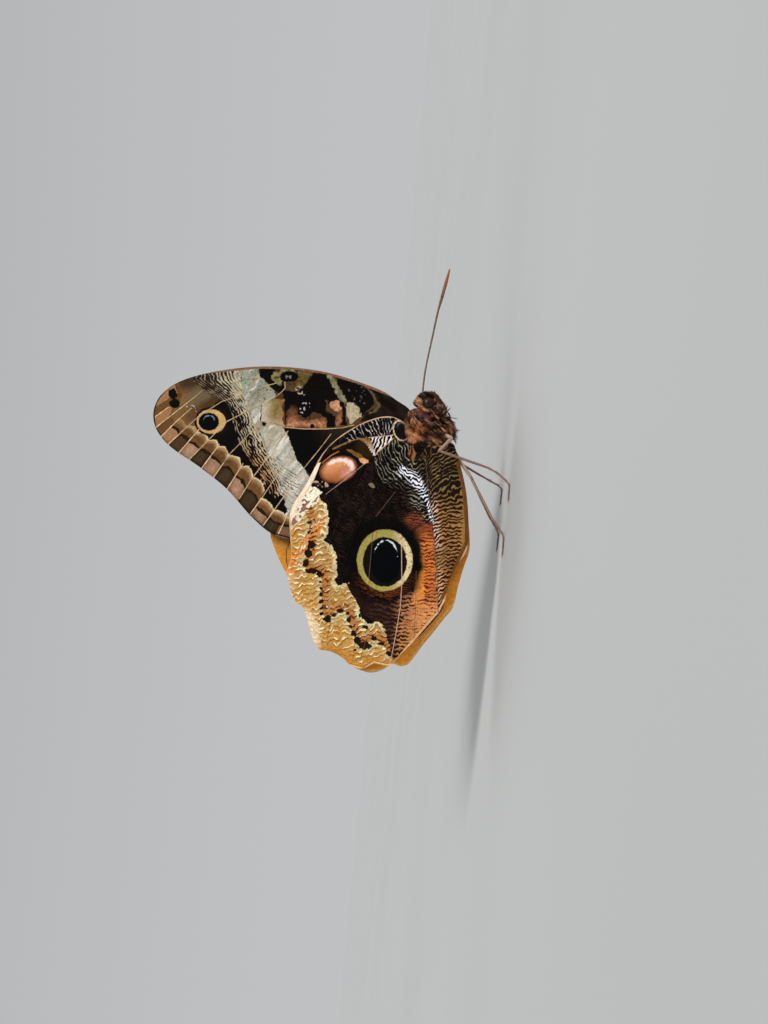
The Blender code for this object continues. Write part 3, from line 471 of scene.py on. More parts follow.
HIND_MARGIN = ((286.7, 571.8), (288, 574.6), (294, 596), (303, 609), (312, 627), (318, 651), (331, 651),
               (341.2, 655.7), (350.4, 665), (363.7, 669), (373.9, 661.8), (387, 665), (393, 664),
               (401.4, 653.7), (438, 612), (452, 585), (461, 560), (469, 542), (469, 526.7), (468, 511.4),
               (467, 497), (464.5, 480.8), (460.4, 464.5))
ROOT_LINES = ((374, 454), (392, 439), (402, 441), (412, 448), (428, 470), (431, 505), (434, 523), (421, 520),
              (409, 503), (398, 491), (384, 484), (376, 470))
# the valley of the root lines at heights down the wing, and the point they bend round
ROOT_VALLEY = ((455, 414), (470, 417), (490, 421), (505, 425), (520, 428))
ROOT_BEND = (432, 438)
ROOT_GLOW = ((414, 526), (13, 15), 20)
# the curved painted highlight on the owl eye's pupil: its outer and inner oval, and the height where it ends
EYE_HIGHLIGHT_CRESCENT = (((386.0, 556), (12.2, 16.0)), ((385.6, 557.9), (11.5, 16.6)))
HIGHLIGHT_CRESCENT_END = 562
# a painted pink sheen on the copper spot's lower right
COPPER_PINK_SHEEN = ((346.5, 472.5), (11, 6.5), -25)
COPPER_LINE = ((322, 463), (331, 455.5), (339, 451.5))
COPPER_FLECKS = ((320, 483), (9, 3.4), 20)
# lines of the zebra counted along the front edge: run from its start, lines passed
LEAD_COUNTS = ((0, 0), (20, 7.2), (45, 13.6), (90, 22.0))
BASE_RIM = ((401, 431), (7.8, 10.6), -20.0)
BASE_GLINT = ((401.8, 428.5), (4.2, 5.6), -20.0)
DISC_SPOT = ((372.2, 485.2), (3.4, 2.0), 40)
PALE_EDGE = ((317.2, 464), (321, 462), (314, 480), (300, 504), (291, 522), (289, 510), (307, 479))
COPPER_VEIN = ((364.7, 463.5), (350, 476), (326, 494))
# parts of the hindwing's margin: which of its points, and where a line along them begins and ends
TAIL_MARGIN = slice(8, 13)
INNER_MARGIN = slice(13, None)
INNER_RIM_LEFT, INNER_RIM_END = 430, 600
INNER_LINE_START = 545
TAIL_LINE_START = 648
LEAD_LINE_NARROW = (470, 528)

# Fades: along p or q, and the places where a tone begins to come in and where it is all in.
FADES = {
    "front dark": ("q", 392, 374), "front dark to tip": ("p", 300, 250),
    "tip": ("p", 222, 196), "tip below apex": ("q", 384, 398),
    "low silver": ("q", 380, 455), "clear silver": ("q", 395, 430),
    "upper zebra": ("q", 412, 396), "low zebra": ("q", 436, 462),
    "small ring": ("p", 205, 222),
    "warm cell": ("p", 272, 286), "cell foot": ("q", 414, 424), "cell sheen": ("p", 274, 262),
    "salmon": ("q", 403, 424), "salmon foot": ("q", 419, 425),
    "brown wedge": ("p", 308, 345), "brown wedge up": ("q", 452, 430),
    "peach rim in": ("q", 545, 570), "peach rim out": ("q", 600, 575), "rusty tail": ("q", 640, 650),
    # where the painted highlight on the border's bending edge fades in and out
    "flash in": ("q", 604, 616), "flash out": ("q", 652, 642), "flash side": ("p", 324, 316),
    "white dims": ("q", 500, 525), "thin lines": ("q", 590, 640), "no crumbs": ("q", 508, 492),
    "warm net": ("p", 396, 412), "warm net down": ("q", 480, 505),
    "fan tan": ("p", 388, 405), "fan black": ("p", 386, 354),
    "fan peach": ("p", 404, 420), "fan peach down": ("q", 584, 606),
    "fan ochre": ("q", 614, 636), "fan ochre side": ("p", 392, 400),
    "column red": ("p", 422, 427), "column fire": ("q", 524, 548), "column top": ("q", 612, 588),
    "fan lines thin": ("p", 390, 404),
    "fan lines end": ("p", 408, 420), "fan lines end down": ("q", 598, 616),
    "column lines in": ("q", 546, 560), "column lines left": ("p", 425.5, 422.5),
    "column lines out": ("q", 604, 596), "column foot": ("q", 598, 612), "column foot side": ("p", 403, 413),
    "dark lines warm": ("p", 400, 420),
    "strip upper": ("q", 530, 480), "strip steep": ("q", 505, 470), "strip tilt": ("q", 515, 470),
    "strip pale in": ("q", 488, 512), "strip pale out": ("q", 562, 532), "strip tan": ("q", 550, 580),
    "strip wide": ("q", 490, 540), "strip edge": ("p", 458, 464),
    "ridge narrow": ("q", 488, 502), "root dark": ("q", 474, 490), "root dark side": ("p", 414, 406),
    # the last fade here thins the painted highlight on the owl eye's pupil
    "ring fire": ("q", 568, 594), "ring pale": ("p", 388, 408), "crescent thin": ("q", 546, 560),
    # the copper spot's painted light: its lit top, its highlight arc and its glints
    "loop olive": ("p", 352, 362), "copper sunken": ("q", 478, 462),
    "highlight_bow": ("q", 469.5, 464.5), "bow side": ("p", 321, 327),
    "copper_glints": ("q", 476, 468), "sparks side": ("p", 336, 342),
    "wedge foot": ("q", 440, 455), "base rim": ("p", 398, 406), "base glint": ("q", 430, 424),
    # painted light on the hindwing's inner face: its rim brightened toward the body side
    "inner rim painted light": ("p", 350, 400),
}


# PAINTING HELPERS

def srgb(red, green, blue):
    """Linear colour of an sRGB colour given as 0 to 255."""
    raw = np.array((red, green, blue)) / 255.0
    return np.where(raw <= 0.04045, raw / 12.92, ((raw + 0.055) / 1.055) ** 2.4)


def blend(a, b, share):
    """One colour to another by a share for each place."""
    share = np.asarray(share)[:, None]
    return a * (1.0 - share) + b * share


def varied(tone, amount):
    """A colour made lighter or darker at each place, by an amount about zero."""
    return tone * (1.0 + amount)[:, None]


def smooth(low, high, value):
    share = np.clip((value - low) / (high - low), 0.0, 1.0)
    return share * share * (3.0 - 2.0 * share)


def noise(p, q, size, seed):
    """Smooth random field from -1 to 1 with bumps about `size` across."""
    lattice = np.random.default_rng(seed).uniform(-1.0, 1.0, (LATTICE, LATTICE))
    across, down = p / size + LATTICE_SHIFT, q / size + LATTICE_SHIFT
    left, top = np.floor(across).astype(int), np.floor(down).astype(int)
    fx, fy = across - left, down - top
    fx, fy = fx * fx * (3 - 2 * fx), fy * fy * (3 - 2 * fy)
    value = 0.0
    for dx, wx in ((0, 1 - fx), (1, fx)):
        for dy, wy in ((0, 1 - fy), (1, fy)):
            value = value + lattice[(left + dx) % LATTICE, (top + dy) % LATTICE] * wx * wy
    return value


def off_whole(phase):
    """How far each value is from the nearest whole number."""
    return np.abs(phase - np.round(phase))


def near_segment(p, q, a, b):
    """Distance to a segment, and the share along it."""
    ax, ay = a
    dx, dy = b[0] - ax, b[1] - ay
    share = ((p - ax) * dx + (q - ay) * dy) / max(dx * dx + dy * dy, 1e-9)
    held = np.clip(share, 0.0, 1.0)
    return np.hypot(p - ax - held * dx, q - ay - held * dy), held


def line_gap(p, q, line):
    """Distance to a line, 1 or -1 by the side of it, and the distance run along it."""
    best = np.full(len(p), 1e9)
    sign = np.ones(len(p))
    run = np.zeros(len(p))
    walked = 0.0
    for a, b in zip(line[:-1], line[1:]):
        gap, held = near_segment(p, q, a, b)
        length = math.hypot(b[0] - a[0], b[1] - a[1])
        side = (b[0] - a[0]) * (q - a[1]) - (b[1] - a[1]) * (p - a[0])
        closer = gap < best - 1e-9
        best = np.where(closer, gap, best)
        sign = np.where(closer, np.where(side > 0, 1.0, -1.0), sign)
        run = np.where(closer, walked + held * length, run)
        walked += length
    return best, sign, run


def inside(points, outline):
    """Which points lie inside a closed outline."""
    x, y = points[:, 0], points[:, 1]
    found = np.zeros(len(points), bool)
    for (x0, y0), (x1, y1) in zip(outline, np.roll(outline, -1, axis=0)):
        crosses = (y0 > y) != (y1 > y)
        found ^= crosses & (x < x0 + (y - y0) * (x1 - x0) / (y1 - y0 + 1e-12))
    return found


class Canvas:
    """Colours of one wing face at places in photograph pixels: a soft ground under layers of sharp marks."""

    def __init__(self, p, q, cloud_size, ragged_size, seed):
        self.p, self.q = p, q
        self.ground = np.zeros((len(p), 3))
        self.depth = [np.full(len(p), -EMPTY) for _ in range(LAYERS)]
        self.tint = [np.zeros((len(p), 3)) for _ in range(LAYERS)]
        self.gloss = np.zeros(len(p))
        self.grain = self.noise(2.2, seed)
        self.cloud = self.noise(cloud_size, seed + 1)
        self.ragged = 0.9 * self.noise(ragged_size, seed + 2) + 0.5 * self.noise(1.4, seed + 3)

    def noise(self, size, seed):
        return noise(self.p, self.q, size, seed)

    def reach(self, centre):
        """Distance from a point."""
        return np.hypot(self.p - centre[0], self.q - centre[1])

    def gap(self, line):
        """Distance to a line."""
        return line_gap(self.p, self.q, line)[0]

    def patch(self, corners):
        """Depth inside a closed patch, below zero outside."""
        gap = self.gap((*corners, corners[0]))
        return np.where(inside(np.column_stack((self.p, self.q)), corners), gap, -gap)

    def oval(self, centre, radii, tilt=0.0):
        """Depth inside a tilted oval, below zero outside; the tilt is in degrees."""
        turn = math.radians(tilt)
        dx, dy = self.p - centre[0], self.q - centre[1]
        along = dx * math.cos(turn) + dy * math.sin(turn)
        aside = -dx * math.sin(turn) + dy * math.cos(turn)
        return (1.0 - np.hypot(along / radii[0], aside / radii[1])) * min(radii)

    def fade(self, name, shift=0.0):
        """How far a fade has come in at each place, 0 to 1; a shift moves the places it is read at."""
        axis, none, full = FADES[name]
        return smooth(none, full, (self.p if axis == "p" else self.q) + shift)

    def waves(self, level, period, wobble, seed):
        """Distance from the middle of the nearest of many close wavy lines that follow a level."""
        bend = 0.7 * self.noise(9.0, seed) + noise(self.p * 0.9, self.q * 0.45, 2.4, seed + 1)
        bend = bend + 0.4 * self.noise(1.5, seed + 2)
        return off_whole((level + wobble * bend) / period) * period

    def wash(self, colour, share=1.0):
        """Colour the ground."""
        self.ground = blend(self.ground, colour, np.broadcast_to(share, len(self.p)))

    def ink(self, layer, colour, depth):
        """Lay a sharp mark where its depth is above zero, over its own layer and the ones above."""
        depth = np.broadcast_to(depth, len(self.p)) * PIXEL
        colour = np.broadcast_to(colour, (len(self.p), 3))
        take = (depth > 0.0) | (depth > self.depth[layer])
        self.tint[layer][take] = colour[take]
        self.depth[layer] = np.clip(np.maximum(self.depth[layer], depth), -EMPTY, EMPTY)
        for above in range(layer + 1, LAYERS):
            self.depth[above] = np.minimum(self.depth[above], -depth)

    def cast(self, layer, colour, share):
        """Tone a layer's marks toward a colour."""
        self.tint[layer] = blend(self.tint[layer], colour, share)

    def shine(self, amount, share):
        self.gloss = self.gloss * (1.0 - share) + amount * share


# FOREWING, outer face

def forewing_ground(c, margin):
    """Brown, warmer to the tip and nearly black toward the root."""
    c.wash(srgb(74, 55, 34))
    c.wash(srgb(104, 74, 44), smooth(-0.2, 0.8, c.cloud) * 0.5)
    c.wash(srgb(48, 35, 22), c.fade("front dark") * c.fade("front dark to tip") * 0.7)
    c.wash(srgb(104, 66, 34), smooth(24.0, 10.0, margin) * 0.6)
    tip = c.fade("tip") * c.fade("tip below apex")
    c.wash(srgb(134, 98, 60), smooth(44.0, 22.0, margin + 5.0 * c.cloud) * tip * 0.85)
    c.wash(srgb(112, 94, 72), smooth(-3.0, 4.0, c.oval(*TIP_PALE)) * 0.8)
    c.wash(srgb(26, 18, 13), smooth(-2.0, 3.0, c.oval(*TIP_DARK)))


def silver_band(c):
    """Silvery, with painted sheen in streaks along the veins, lighter and darker, and dusted with fine dark
    scales.
    """
    depth = c.patch(SILVER_PATCH) + c.ragged
    across, along = c.p * 0.78 + c.q * 0.62, c.q * 0.78 - c.p * 0.62
    streak = noise(across, along * 0.16, 3.4, 15) + 0.5 * noise(across, along * 0.3, 1.6, 17)
    warm = smooth(0.1, 0.7, noise(across * 0.6, along * 0.25, 5.0, 33))
    silver = blend(srgb(150, 154, 138), srgb(192, 187, 172), c.fade("low silver"))
    silver = blend(silver, srgb(168, 150, 118), warm * 0.5)
    # painted sheen: pale streaks along the veins and darker ones between them stand in for light on the folds
    silver = blend(silver, srgb(236, 232, 222), smooth(0.25, 1.0, streak) * 0.65)
    c.ink(0, varied(silver, 0.12 * c.cloud + 0.08 * c.grain - 0.3 * smooth(-0.1, -0.9, streak)), depth)
    specks = 1.6 * (c.noise(1.4, 16) - 0.6 - 0.25 * c.fade("clear silver"))
    c.ink(1, srgb(100, 100, 84), np.minimum(specks, depth - 1.0))
    bend = 1.3 * (c.noise(7.0, 18) + 0.5 * c.noise(3.2, 19)) + 0.6 * c.noise(2.0, 48)
    off = off_whole((c.reach(SILVER_RINGS) + bend) / SILVER_PERIOD) * SILVER_PERIOD
    rings = SILVER_PERIOD * (0.25 + 0.1 * c.noise(5.0, 20)) - off - 0.35
    c.ink(1, srgb(112, 100, 78), np.minimum(rings, np.minimum(depth - 0.5, c.patch(SILVER_FOOT))))
    c.ink(1, srgb(20, 14, 12), 0.7 - c.gap(CELL_CRACK) + 0.35 * c.ragged)


def zebra_band(c):
    """Pale broken lines that fan out to the front edge, over black, wider toward the silver."""
    heights, *columns = np.array(ZEBRA_SPANS).T
    left, right, lines = (np.interp(c.q, heights, column) for column in columns)
    zone = c.patch(ZEBRA_ZONE) + 1.2 * c.noise(3.2, 19) + 0.8 * c.noise(1.6, 38)
    place = (c.p - left) / (right - left)
    upper = c.fade("upper zebra")
    back = blend(srgb(15, 10, 8), srgb(40, 29, 20), upper)
    c.ink(0, back, np.minimum(zone, 5.0 * (1.12 - place) + 1.5 * c.noise(3.0, 39)))
    spacing = (right - left) / lines
    bend = 1.5 * c.noise(8.0, 20) + 1.2 * c.noise(3.6, 21) + 0.5 * c.noise(1.8, 34)
    off = off_whole(place * lines + bend / spacing) * spacing
    half = spacing * (0.17 + 0.2 * smooth(0.3, 1.0, place)) + 0.5 * c.noise(4.0, 22) + 0.25 * c.noise(1.8, 40)
    pale = varied(srgb(178, 166, 140), 0.3 * c.noise(5.0, 35))
    pale = blend(pale, srgb(96, 72, 46), smooth(0.55, 0.1, place) * (0.45 + 0.3 * upper))
    pale = blend(pale, srgb(176, 132, 92), c.fade("low zebra") * smooth(0.9, 0.3, place))
    c.ink(1, pale, np.minimum(half - off, zone - 0.3))


def between_rays(c):
    """Number of margin rays passed at each place, and the share of the way from one ray to the next."""
    count = np.zeros(len(c.p), int)
    low, high = np.full(len(c.p), 1e9), np.full(len(c.p), 1e9)
    for a, b in MARGIN_RAYS:
        dx, dy = b[0] - a[0], b[1] - a[1]
        off = (dx * (c.q - a[1]) - dy * (c.p - a[0])) / math.hypot(dx, dy)
        count += off > 0
        low = np.where(off > 0, np.minimum(low, off), low)
        high = np.where(off <= 0, np.minimum(high, -off), high)
    return count, np.clip(low / np.maximum(low + high, 1e-6), 0, 1)


def margin_squares(c, margin):
    """A band of pale and dark squares between the veins, outside a plain brown one."""
    count, share = between_rays(c)
    bulge = 1.0 - (2.0 * share - 1.0) ** 2
    inner = 27.5 + 4.5 * bulge * smooth(2, 6, count) - 8.0 * smooth(5, 2, count) + 0.8 * c.ragged
    inner = np.where(count >= NARROW_SQUARES, 20.0 + 3.0 * bulge, inner)
    split = 14.5 + 2.2 * bulge + 0.8 * c.noise(4.0, 24)
    split = np.where(count >= NARROW_SQUARES, 10.5, split)
    band = inner - margin
    brown = varied(srgb(112, 76, 42), 0.3 * c.cloud + 0.2 * c.grain)
    brown = blend(brown, srgb(176, 146, 104), smooth(7.0, 0.5, band) * smooth(3, 5, count))
    brown = blend(brown, srgb(52, 32, 18), smooth(3.5, 0.5, margin - split) * 0.35)
    c.ink(0, brown, band)
    heart = bulge * smooth(0.0, 5.0, margin)
    pink = (count % 2 == 0)[:, None]
    squares = np.where(pink, blend(srgb(124, 88, 66), srgb(172, 134, 108), heart),
                       blend(srgb(40, 28, 16), srgb(66, 50, 32), heart))
    squares = varied(squares, 0.2 * c.cloud + 0.15 * c.grain)
    squares = blend(squares, np.where(pink, srgb(158, 114, 76), srgb(104, 72, 42)), smooth(6, 3, count))
    c.ink(0, squares, np.minimum(split - margin, band))
    seam = 1.3 + 0.8 * c.noise(3.0, 25) - np.abs(margin - split - 0.3)
    c.ink(1, srgb(38, 24, 15), np.where(count >= TIP_SQUARES, seam, -EMPTY))
    seam = np.minimum(0.8 + 0.5 * c.ragged - np.abs(band - 0.9), 2)
    c.ink(1, srgb(214, 190, 150), np.where(count >= TIP_SQUARES + 2, seam, -EMPTY))
    c.ink(1, srgb(40, 27, 20), 0.8 - margin)


def tip_marks(c):
    """Black patches and a white arc in the brown field at the tip, and the small eyespot."""
    for corners in APEX_BLACKS:
        c.ink(0, srgb(17, 12, 9), c.patch(corners) + 0.7 * c.ragged)
    c.ink(1, srgb(214, 210, 198), 0.3 - c.gap(WHITE_ARC) + 0.5 * c.noise(2.0, 41))
    c.ink(0, srgb(26, 14, 8), c.oval(*FORE_SURROUND) + 0.4 * c.ragged)
    ring = blend(srgb(196, 160, 108), srgb(204, 166, 106), c.fade("small ring"))
    c.ink(0, ring, c.oval(*FORE_RING) + 0.15 * c.ragged)
    pupil = c.oval(*FORE_EYE)
    c.ink(0, srgb(9, 11, 15), pupil)
    c.shine(0.8, smooth(-0.3, 0.5, pupil))
    outer, inner = FORE_GLINT
    glint = np.minimum(np.minimum(c.oval(*outer), -c.oval(*inner)), 0.4)
    c.ink(1, srgb(108, 124, 142), glint + 0.5 * c.noise(2.0, 26) - 0.15)


def root_field(c, mottle):
    """Black blots over beige, tan and salmon in the root half."""
    streaks = noise(c.p * 0.8 + c.q * 0.6, (c.q * 0.8 - c.p * 0.6) * 3.0, 7.0, 36)
    c.ink(0, varied(srgb(27, 19, 14), 0.7 * streaks), c.patch(ROOT_FIELD))
    beige = varied(srgb(104, 86, 46), 0.35 * mottle + 0.35 * c.grain)
    beige = blend(beige, srgb(24, 18, 12), smooth(0.1, 0.7, mottle) * 0.7)
    c.ink(0, beige, c.patch(BEIGE_COSTA) + 1.4 * c.ragged)
    for corners in ROOT_BLACKS:
        c.ink(0, srgb(12, 9, 8), c.patch(corners) + c.ragged)
    tan = varied(srgb(138, 116, 70), 0.25 * c.cloud + 0.3 * c.grain)
    tan = blend(tan, srgb(150, 104, 66), c.fade("warm cell") * 0.6)
    tan = blend(tan, srgb(196, 166, 140), c.fade("cell foot") * 0.6)
    tan = blend(tan, srgb(206, 198, 178), c.fade("cell sheen", 3.0 * c.grain) * 0.7)
    c.ink(0, tan, c.patch(TAN_CELL) + 0.9 * c.ragged)
    for corners in SALMON_PATCHES:
        depth = c.patch(corners) + 1.2 * c.ragged
        tone = blend(srgb(44, 28, 20), srgb(150, 96, 66), c.fade("salmon", 4.0 * mottle))
        tone = blend(tone, srgb(188, 130, 96), c.fade("salmon foot", 2.0 * c.grain) * 0.6)
        tone = varied(tone, 0.25 * c.noise(4.0, 27) + 0.4 * c.grain)
        c.ink(0, tone * (0.45 + 0.55 * smooth(0.0, 3.0, depth))[:, None], depth)


def cell_marks(c, mottle):
    """Small blots, stripes and flecks in the cell and at the front edge near the root."""
    c.ink(0, srgb(10, 8, 8), c.oval(*CELL_BLACK) + 1.8 * c.ragged)
    c.ink(0, varied(srgb(190, 138, 102), 0.3 * c.grain), c.oval(*CELL_TAN) + 1.2 * c.ragged)
    corner = np.maximum(LOOP_CORNER[0] - c.p, LOOP_CORNER[1] - c.q)
    olive = blend(srgb(132, 122, 78), srgb(70, 60, 34), smooth(0.0, 0.7, mottle))
    c.ink(0, varied(olive, 0.3 * c.grain), np.minimum(c.oval(*COSTAL_LOOP), corner) + 0.9 * c.ragged)
    c.ink(0, srgb(10, 8, 8), c.oval(*COSTAL_OVAL) + 0.5 * c.ragged)
    c.ink(1, srgb(120, 118, 106), np.minimum(2.4 * (c.noise(2.0, 28) - 0.3), c.oval(*COSTAL_GLINT)))
    stripe = varied(srgb(128, 124, 94), 0.35 * c.grain + 0.25 * mottle)
    c.ink(0, stripe, 2.7 - c.gap(CELL_STRIPE) + 1.3 * c.ragged)
    c.ink(0, varied(srgb(176, 160, 132), 0.3 * c.noise(2.6, 37)), c.patch(CELL_CREAM) + 1.3 * c.ragged)
    c.ink(0, srgb(12, 9, 8), 1.8 - c.gap(CELL_BAR) + 0.9 * c.ragged)
    c.ink(0, srgb(92, 72, 48), 1.3 - c.gap(CELL_HOOK) + 0.9 * c.ragged)
    for fleck in CELL_FLECKS:
        c.ink(1, srgb(172, 160, 152), np.minimum(2.6 * (c.noise(1.9, 29) - 0.12), c.oval(*fleck)))
    c.ink(1, srgb(84, 76, 68), np.minimum(2.0 * (c.noise(1.8, 30) - 0.45), c.oval(*FIELD_CRUMBS)))
    for dot in CELL_DOTS:
        c.ink(0, srgb(14, 10, 9), c.oval(*dot) + 0.4 * c.ragged)


def forewing_lines(c, margin):
    """Black wedge below the cell, browner near the hindwing, then the pale veins and the ruddy front edge."""
    tone = blend(srgb(9, 8, 8), srgb(44, 32, 24), c.fade("brown wedge") * c.fade("brown wedge up"))
    c.ink(0, tone, c.patch(BLACK_WEDGE) + 0.7 * c.ragged)
    for line in FOREWING_LINES:
        tone = blend(srgb(190, 160, 120), srgb(232, 202, 160), smooth(40, 10, margin))
        c.ink(2, varied(tone, 0.15 * c.noise(3.0, 31)), VEIN_HALF + 0.1 * c.noise(2.5, 42) - c.gap(line))
    c.ink(2, varied(srgb(126, 92, 70), 0.2 * c.noise(3.0, 32)), 1.9 - c.gap(FRONT_EDGE))


def paint_forewing(c):
    margin = c.gap(OUTER_MARGIN)
    mottle = c.noise(3.4, 45)
    forewing_ground(c, margin)
    silver_band(c)
    c.ink(0, srgb(13, 10, 9), c.patch(BLACK_BAND) + c.ragged)
    zebra_band(c)
    margin_squares(c, margin)
    tip_marks(c)
    root_field(c, mottle)
    cell_marks(c, mottle)
    forewing_lines(c, margin)


# HINDWING, outer face

def border(c, margin, disc):
    """Cream by the disc, rusty inside the chain of spots, pale and then ochre outside it."""
    off = -disc
    chain, way, _ = line_gap(c.p, c.q, SPOT_CHAIN)
    within = (way < 0).astype(float)
    rusty = within * smooth(9.5, 4.5, chain + 2.0 * c.cloud) * smooth(2.0, 5.0, off)
    # painted highlight: light caught where the wing's edge bends, near the lower outer margin
    margin_highlight = c.fade("flash in") * c.fade("flash out") * c.fade("flash side")
    c.wash(srgb(194, 140, 62))
    c.wash(srgb(212, 166, 92), smooth(-0.3, 0.7, c.cloud) * 0.5)
    peach = smooth(9.0, 2.0, margin) * c.fade("peach rim in") * c.fade("peach rim out")
    c.wash(srgb(224, 184, 136), peach * 0.8)
    c.wash(srgb(204, 130, 54), smooth(5.0, 1.0, margin) * c.fade("rusty tail") * 0.8)
    # the painted highlight, palest toward the margin
    c.wash(srgb(244, 220, 182), smooth(9.0, 4.0, margin + 2.0 * c.noise(4.0, 93)) * margin_highlight * 0.9)
    c.wash(srgb(206, 192, 138), (1 - within) * smooth(9.0, 3.5, chain + 4.0 * c.cloud) * 0.8)
    c.wash(srgb(190, 150, 86), within)
    c.wash(srgb(182, 116, 56), rusty * 0.9)
    c.wash(srgb(232, 138, 52), smooth(5.0, 2.0, c.gap(FLAME) + 2.2 * c.noise(3.0, 77)) * 0.9)
    rim = np.where(off > 0, 3.4 + 1.8 * c.noise(4.5, 50) + 1.2 * c.noise(1.7, 76) - off, -1.0)
    c.ink(0, varied(srgb(206, 188, 142), 0.2 * c.grain + 0.14 * c.cloud), np.minimum(rim, 4))
    white = c.patch(WHITE_FLASH) + c.ragged
    c.ink(0, varied(srgb(250, 240, 218), -0.25 * c.fade("white dims", 4 * c.cloud)), white)
    border_lines(c, margin, off, rusty)
    near = np.where(within > 0, np.minimum(8.5 - chain, off - 1.0), -1.0)
    dashes = 0.8 + 0.9 * c.noise(3.0, 47) - np.abs(zigzag(c) - 0.28) * ZIGZAG_PERIOD
    c.ink(1, srgb(98, 54, 28), np.minimum(dashes, near))
    crumbs = noise(c.p * 0.7 + c.q * 0.7, (c.q * 0.7 - c.p * 0.7) * 0.5, 1.8, 51)
    crumbs = crumbs - 0.2 - 0.4 * c.fade("no crumbs")
    c.ink(1, srgb(150, 106, 84), np.minimum(1.6 * crumbs, white - 1.0))
    for centre, wide, tall in BORDER_SPOTS:
        c.ink(1, srgb(34, 20, 13), c.oval(centre, (SPOT_GROWTH * wide, SPOT_GROWTH * tall)) + c.ragged)


def zigzag(c):
    """How far each place is below the nearest zigzag line, as a share of the lines' spacing."""
    bend = 2.5 * noise(c.p, c.q * 0.35, 2.9, 46) + 2.4 * c.noise(8.0, 75) + 0.5 * c.noise(1.7, 83)
    wave = (c.q + 0.3 * c.p + bend) / ZIGZAG_PERIOD
    return wave - np.round(wave)


def border_lines(c, margin, off, rusty):
    """Zigzag cream lines across the border, each with a brown shadow."""
    place = zigzag(c)
    shadow = smooth(0.06, 0.2, place) * smooth(0.5, 0.3, place)
    c.wash(srgb(132, 76, 34), shadow * (0.35 + 0.4 * smooth(3.0, 9.0, margin)))
    half = 0.4 + 0.65 * c.noise(4.0, 48) - 0.4 * rusty - 0.7 * smooth(9.0, 2.0, margin) * c.fade("thin lines")
    pale = varied(srgb(246, 230, 188), 0.15 * c.noise(5.0, 49))
    c.ink(1, pale, np.minimum(half - np.abs(place) * ZIGZAG_PERIOD, off - 0.5))


def dark_disc(c, disc, reach):
    """Nearly black, with a fine net of lighter lines."""
    c.ink(0, varied(srgb(9, 6, 5), 0.2 * c.cloud), disc)
    net = 0.55 + 0.4 * c.noise(4.0, 73) - c.waves(reach, NET_PERIOD, 1.7, 52)
    tone = blend(srgb(35, 25, 20), srgb(62, 38, 33), c.fade("warm net") * c.fade("warm net down"))
    c.ink(1, varied(tone, 0.4 * c.noise(5.0, 74)), np.minimum(net, disc - 1.0))


def lower_field(c, reach):
    """Brown below the owl eye, orange beside it, peach toward the tail, crossed by dark waves."""
    column = c.patch(ORANGE_COLUMN)
    field = np.maximum(c.patch(LOWER_FAN), column)
    drift = 2.5 * c.noise(6.0, 54)
    ground = blend(srgb(78, 48, 36), srgb(170, 112, 76), c.fade("fan tan", drift))
    ground = blend(ground, srgb(15, 10, 9), c.fade("fan black", drift))
    ground = blend(ground, srgb(222, 148, 92), c.fade("fan peach", drift) * c.fade("fan peach down", drift))
    ground = blend(ground, srgb(212, 142, 78), c.fade("fan ochre") * c.fade("fan ochre side") * 0.75)
    fire = blend(srgb(232, 142, 56), srgb(222, 122, 56), c.fade("column red"))
    fire = blend(srgb(138, 64, 36), fire, c.fade("column fire"))
    ground = blend(ground, fire, smooth(-1.0, 3.0, column + drift) * c.fade("column top", drift))
    ground = varied(ground, 0.14 * c.cloud + 0.14 * c.grain)
    half = 1.3 - 0.4 * c.fade("fan lines thin") + 0.5 * c.noise(4.0, 57)
    half = half - 1.2 * c.fade("fan lines end") * c.fade("fan lines end down")
    thick = 0.7 - 0.5 * c.fade("column foot") * c.fade("column foot side") + 0.5 * c.noise(3.0, 56)
    thick = thick - 0.7 * c.fade("column lines in") * c.fade("column lines left") * c.fade("column lines out")
    beside = smooth(-1.0, 2.0, column)
    depth = np.where(beside > 0.5, thick - c.waves(reach, COLUMN_PERIOD, 1.5, 79),
                     half - c.waves(reach, FAN_PERIOD, 1.8, 55))
    dark = blend(srgb(34, 20, 17), srgb(96, 44, 24), c.fade("dark lines warm") * beside)
    shadow = smooth(-1.3, 0.3, depth) * (0.5 - 0.2 * beside)
    c.ink(0, blend(ground, dark, shadow), field + 1.2 * c.noise(5.0, 56))
    c.ink(1, dark, np.minimum(depth, field + 0.5))


def right_strip(c):
    """Close pale lines that climb away from the vein, gold at the edge."""
    strip = c.patch(RIGHT_STRIP)
    vein = c.gap(HINDWING_FAINT[0])
    upper = c.fade("strip upper")
    c.ink(0, blend(srgb(52, 26, 13), srgb(28, 18, 12), upper), strip)
    climb = 7.0 * (1.0 - np.exp(-vein / 6.0)) * (1.0 + 0.6 * c.fade("strip steep"))
    off = c.waves(c.q + climb + 0.35 * vein * c.fade("strip tilt"), STRIP_PERIOD, 1.6, 58)
    near = smooth(10.0, 2.0, vein)
    tone = blend(srgb(156, 112, 64), srgb(128, 106, 66), upper)
    tone = blend(tone, srgb(236, 200, 174), near * c.fade("strip pale in") * c.fade("strip pale out") * 0.9)
    tone = blend(tone, srgb(214, 166, 124), near * c.fade("strip tan") * 0.85)
    tone = varied(tone, 0.15 * c.noise(4.0, 59) + 0.15 * c.grain)
    half = 0.52 + 0.38 * c.fade("strip wide") + 0.3 * c.noise(4.5, 84) + c.fade("strip edge")
    c.ink(1, tone, np.minimum(half - off, strip + 0.3))


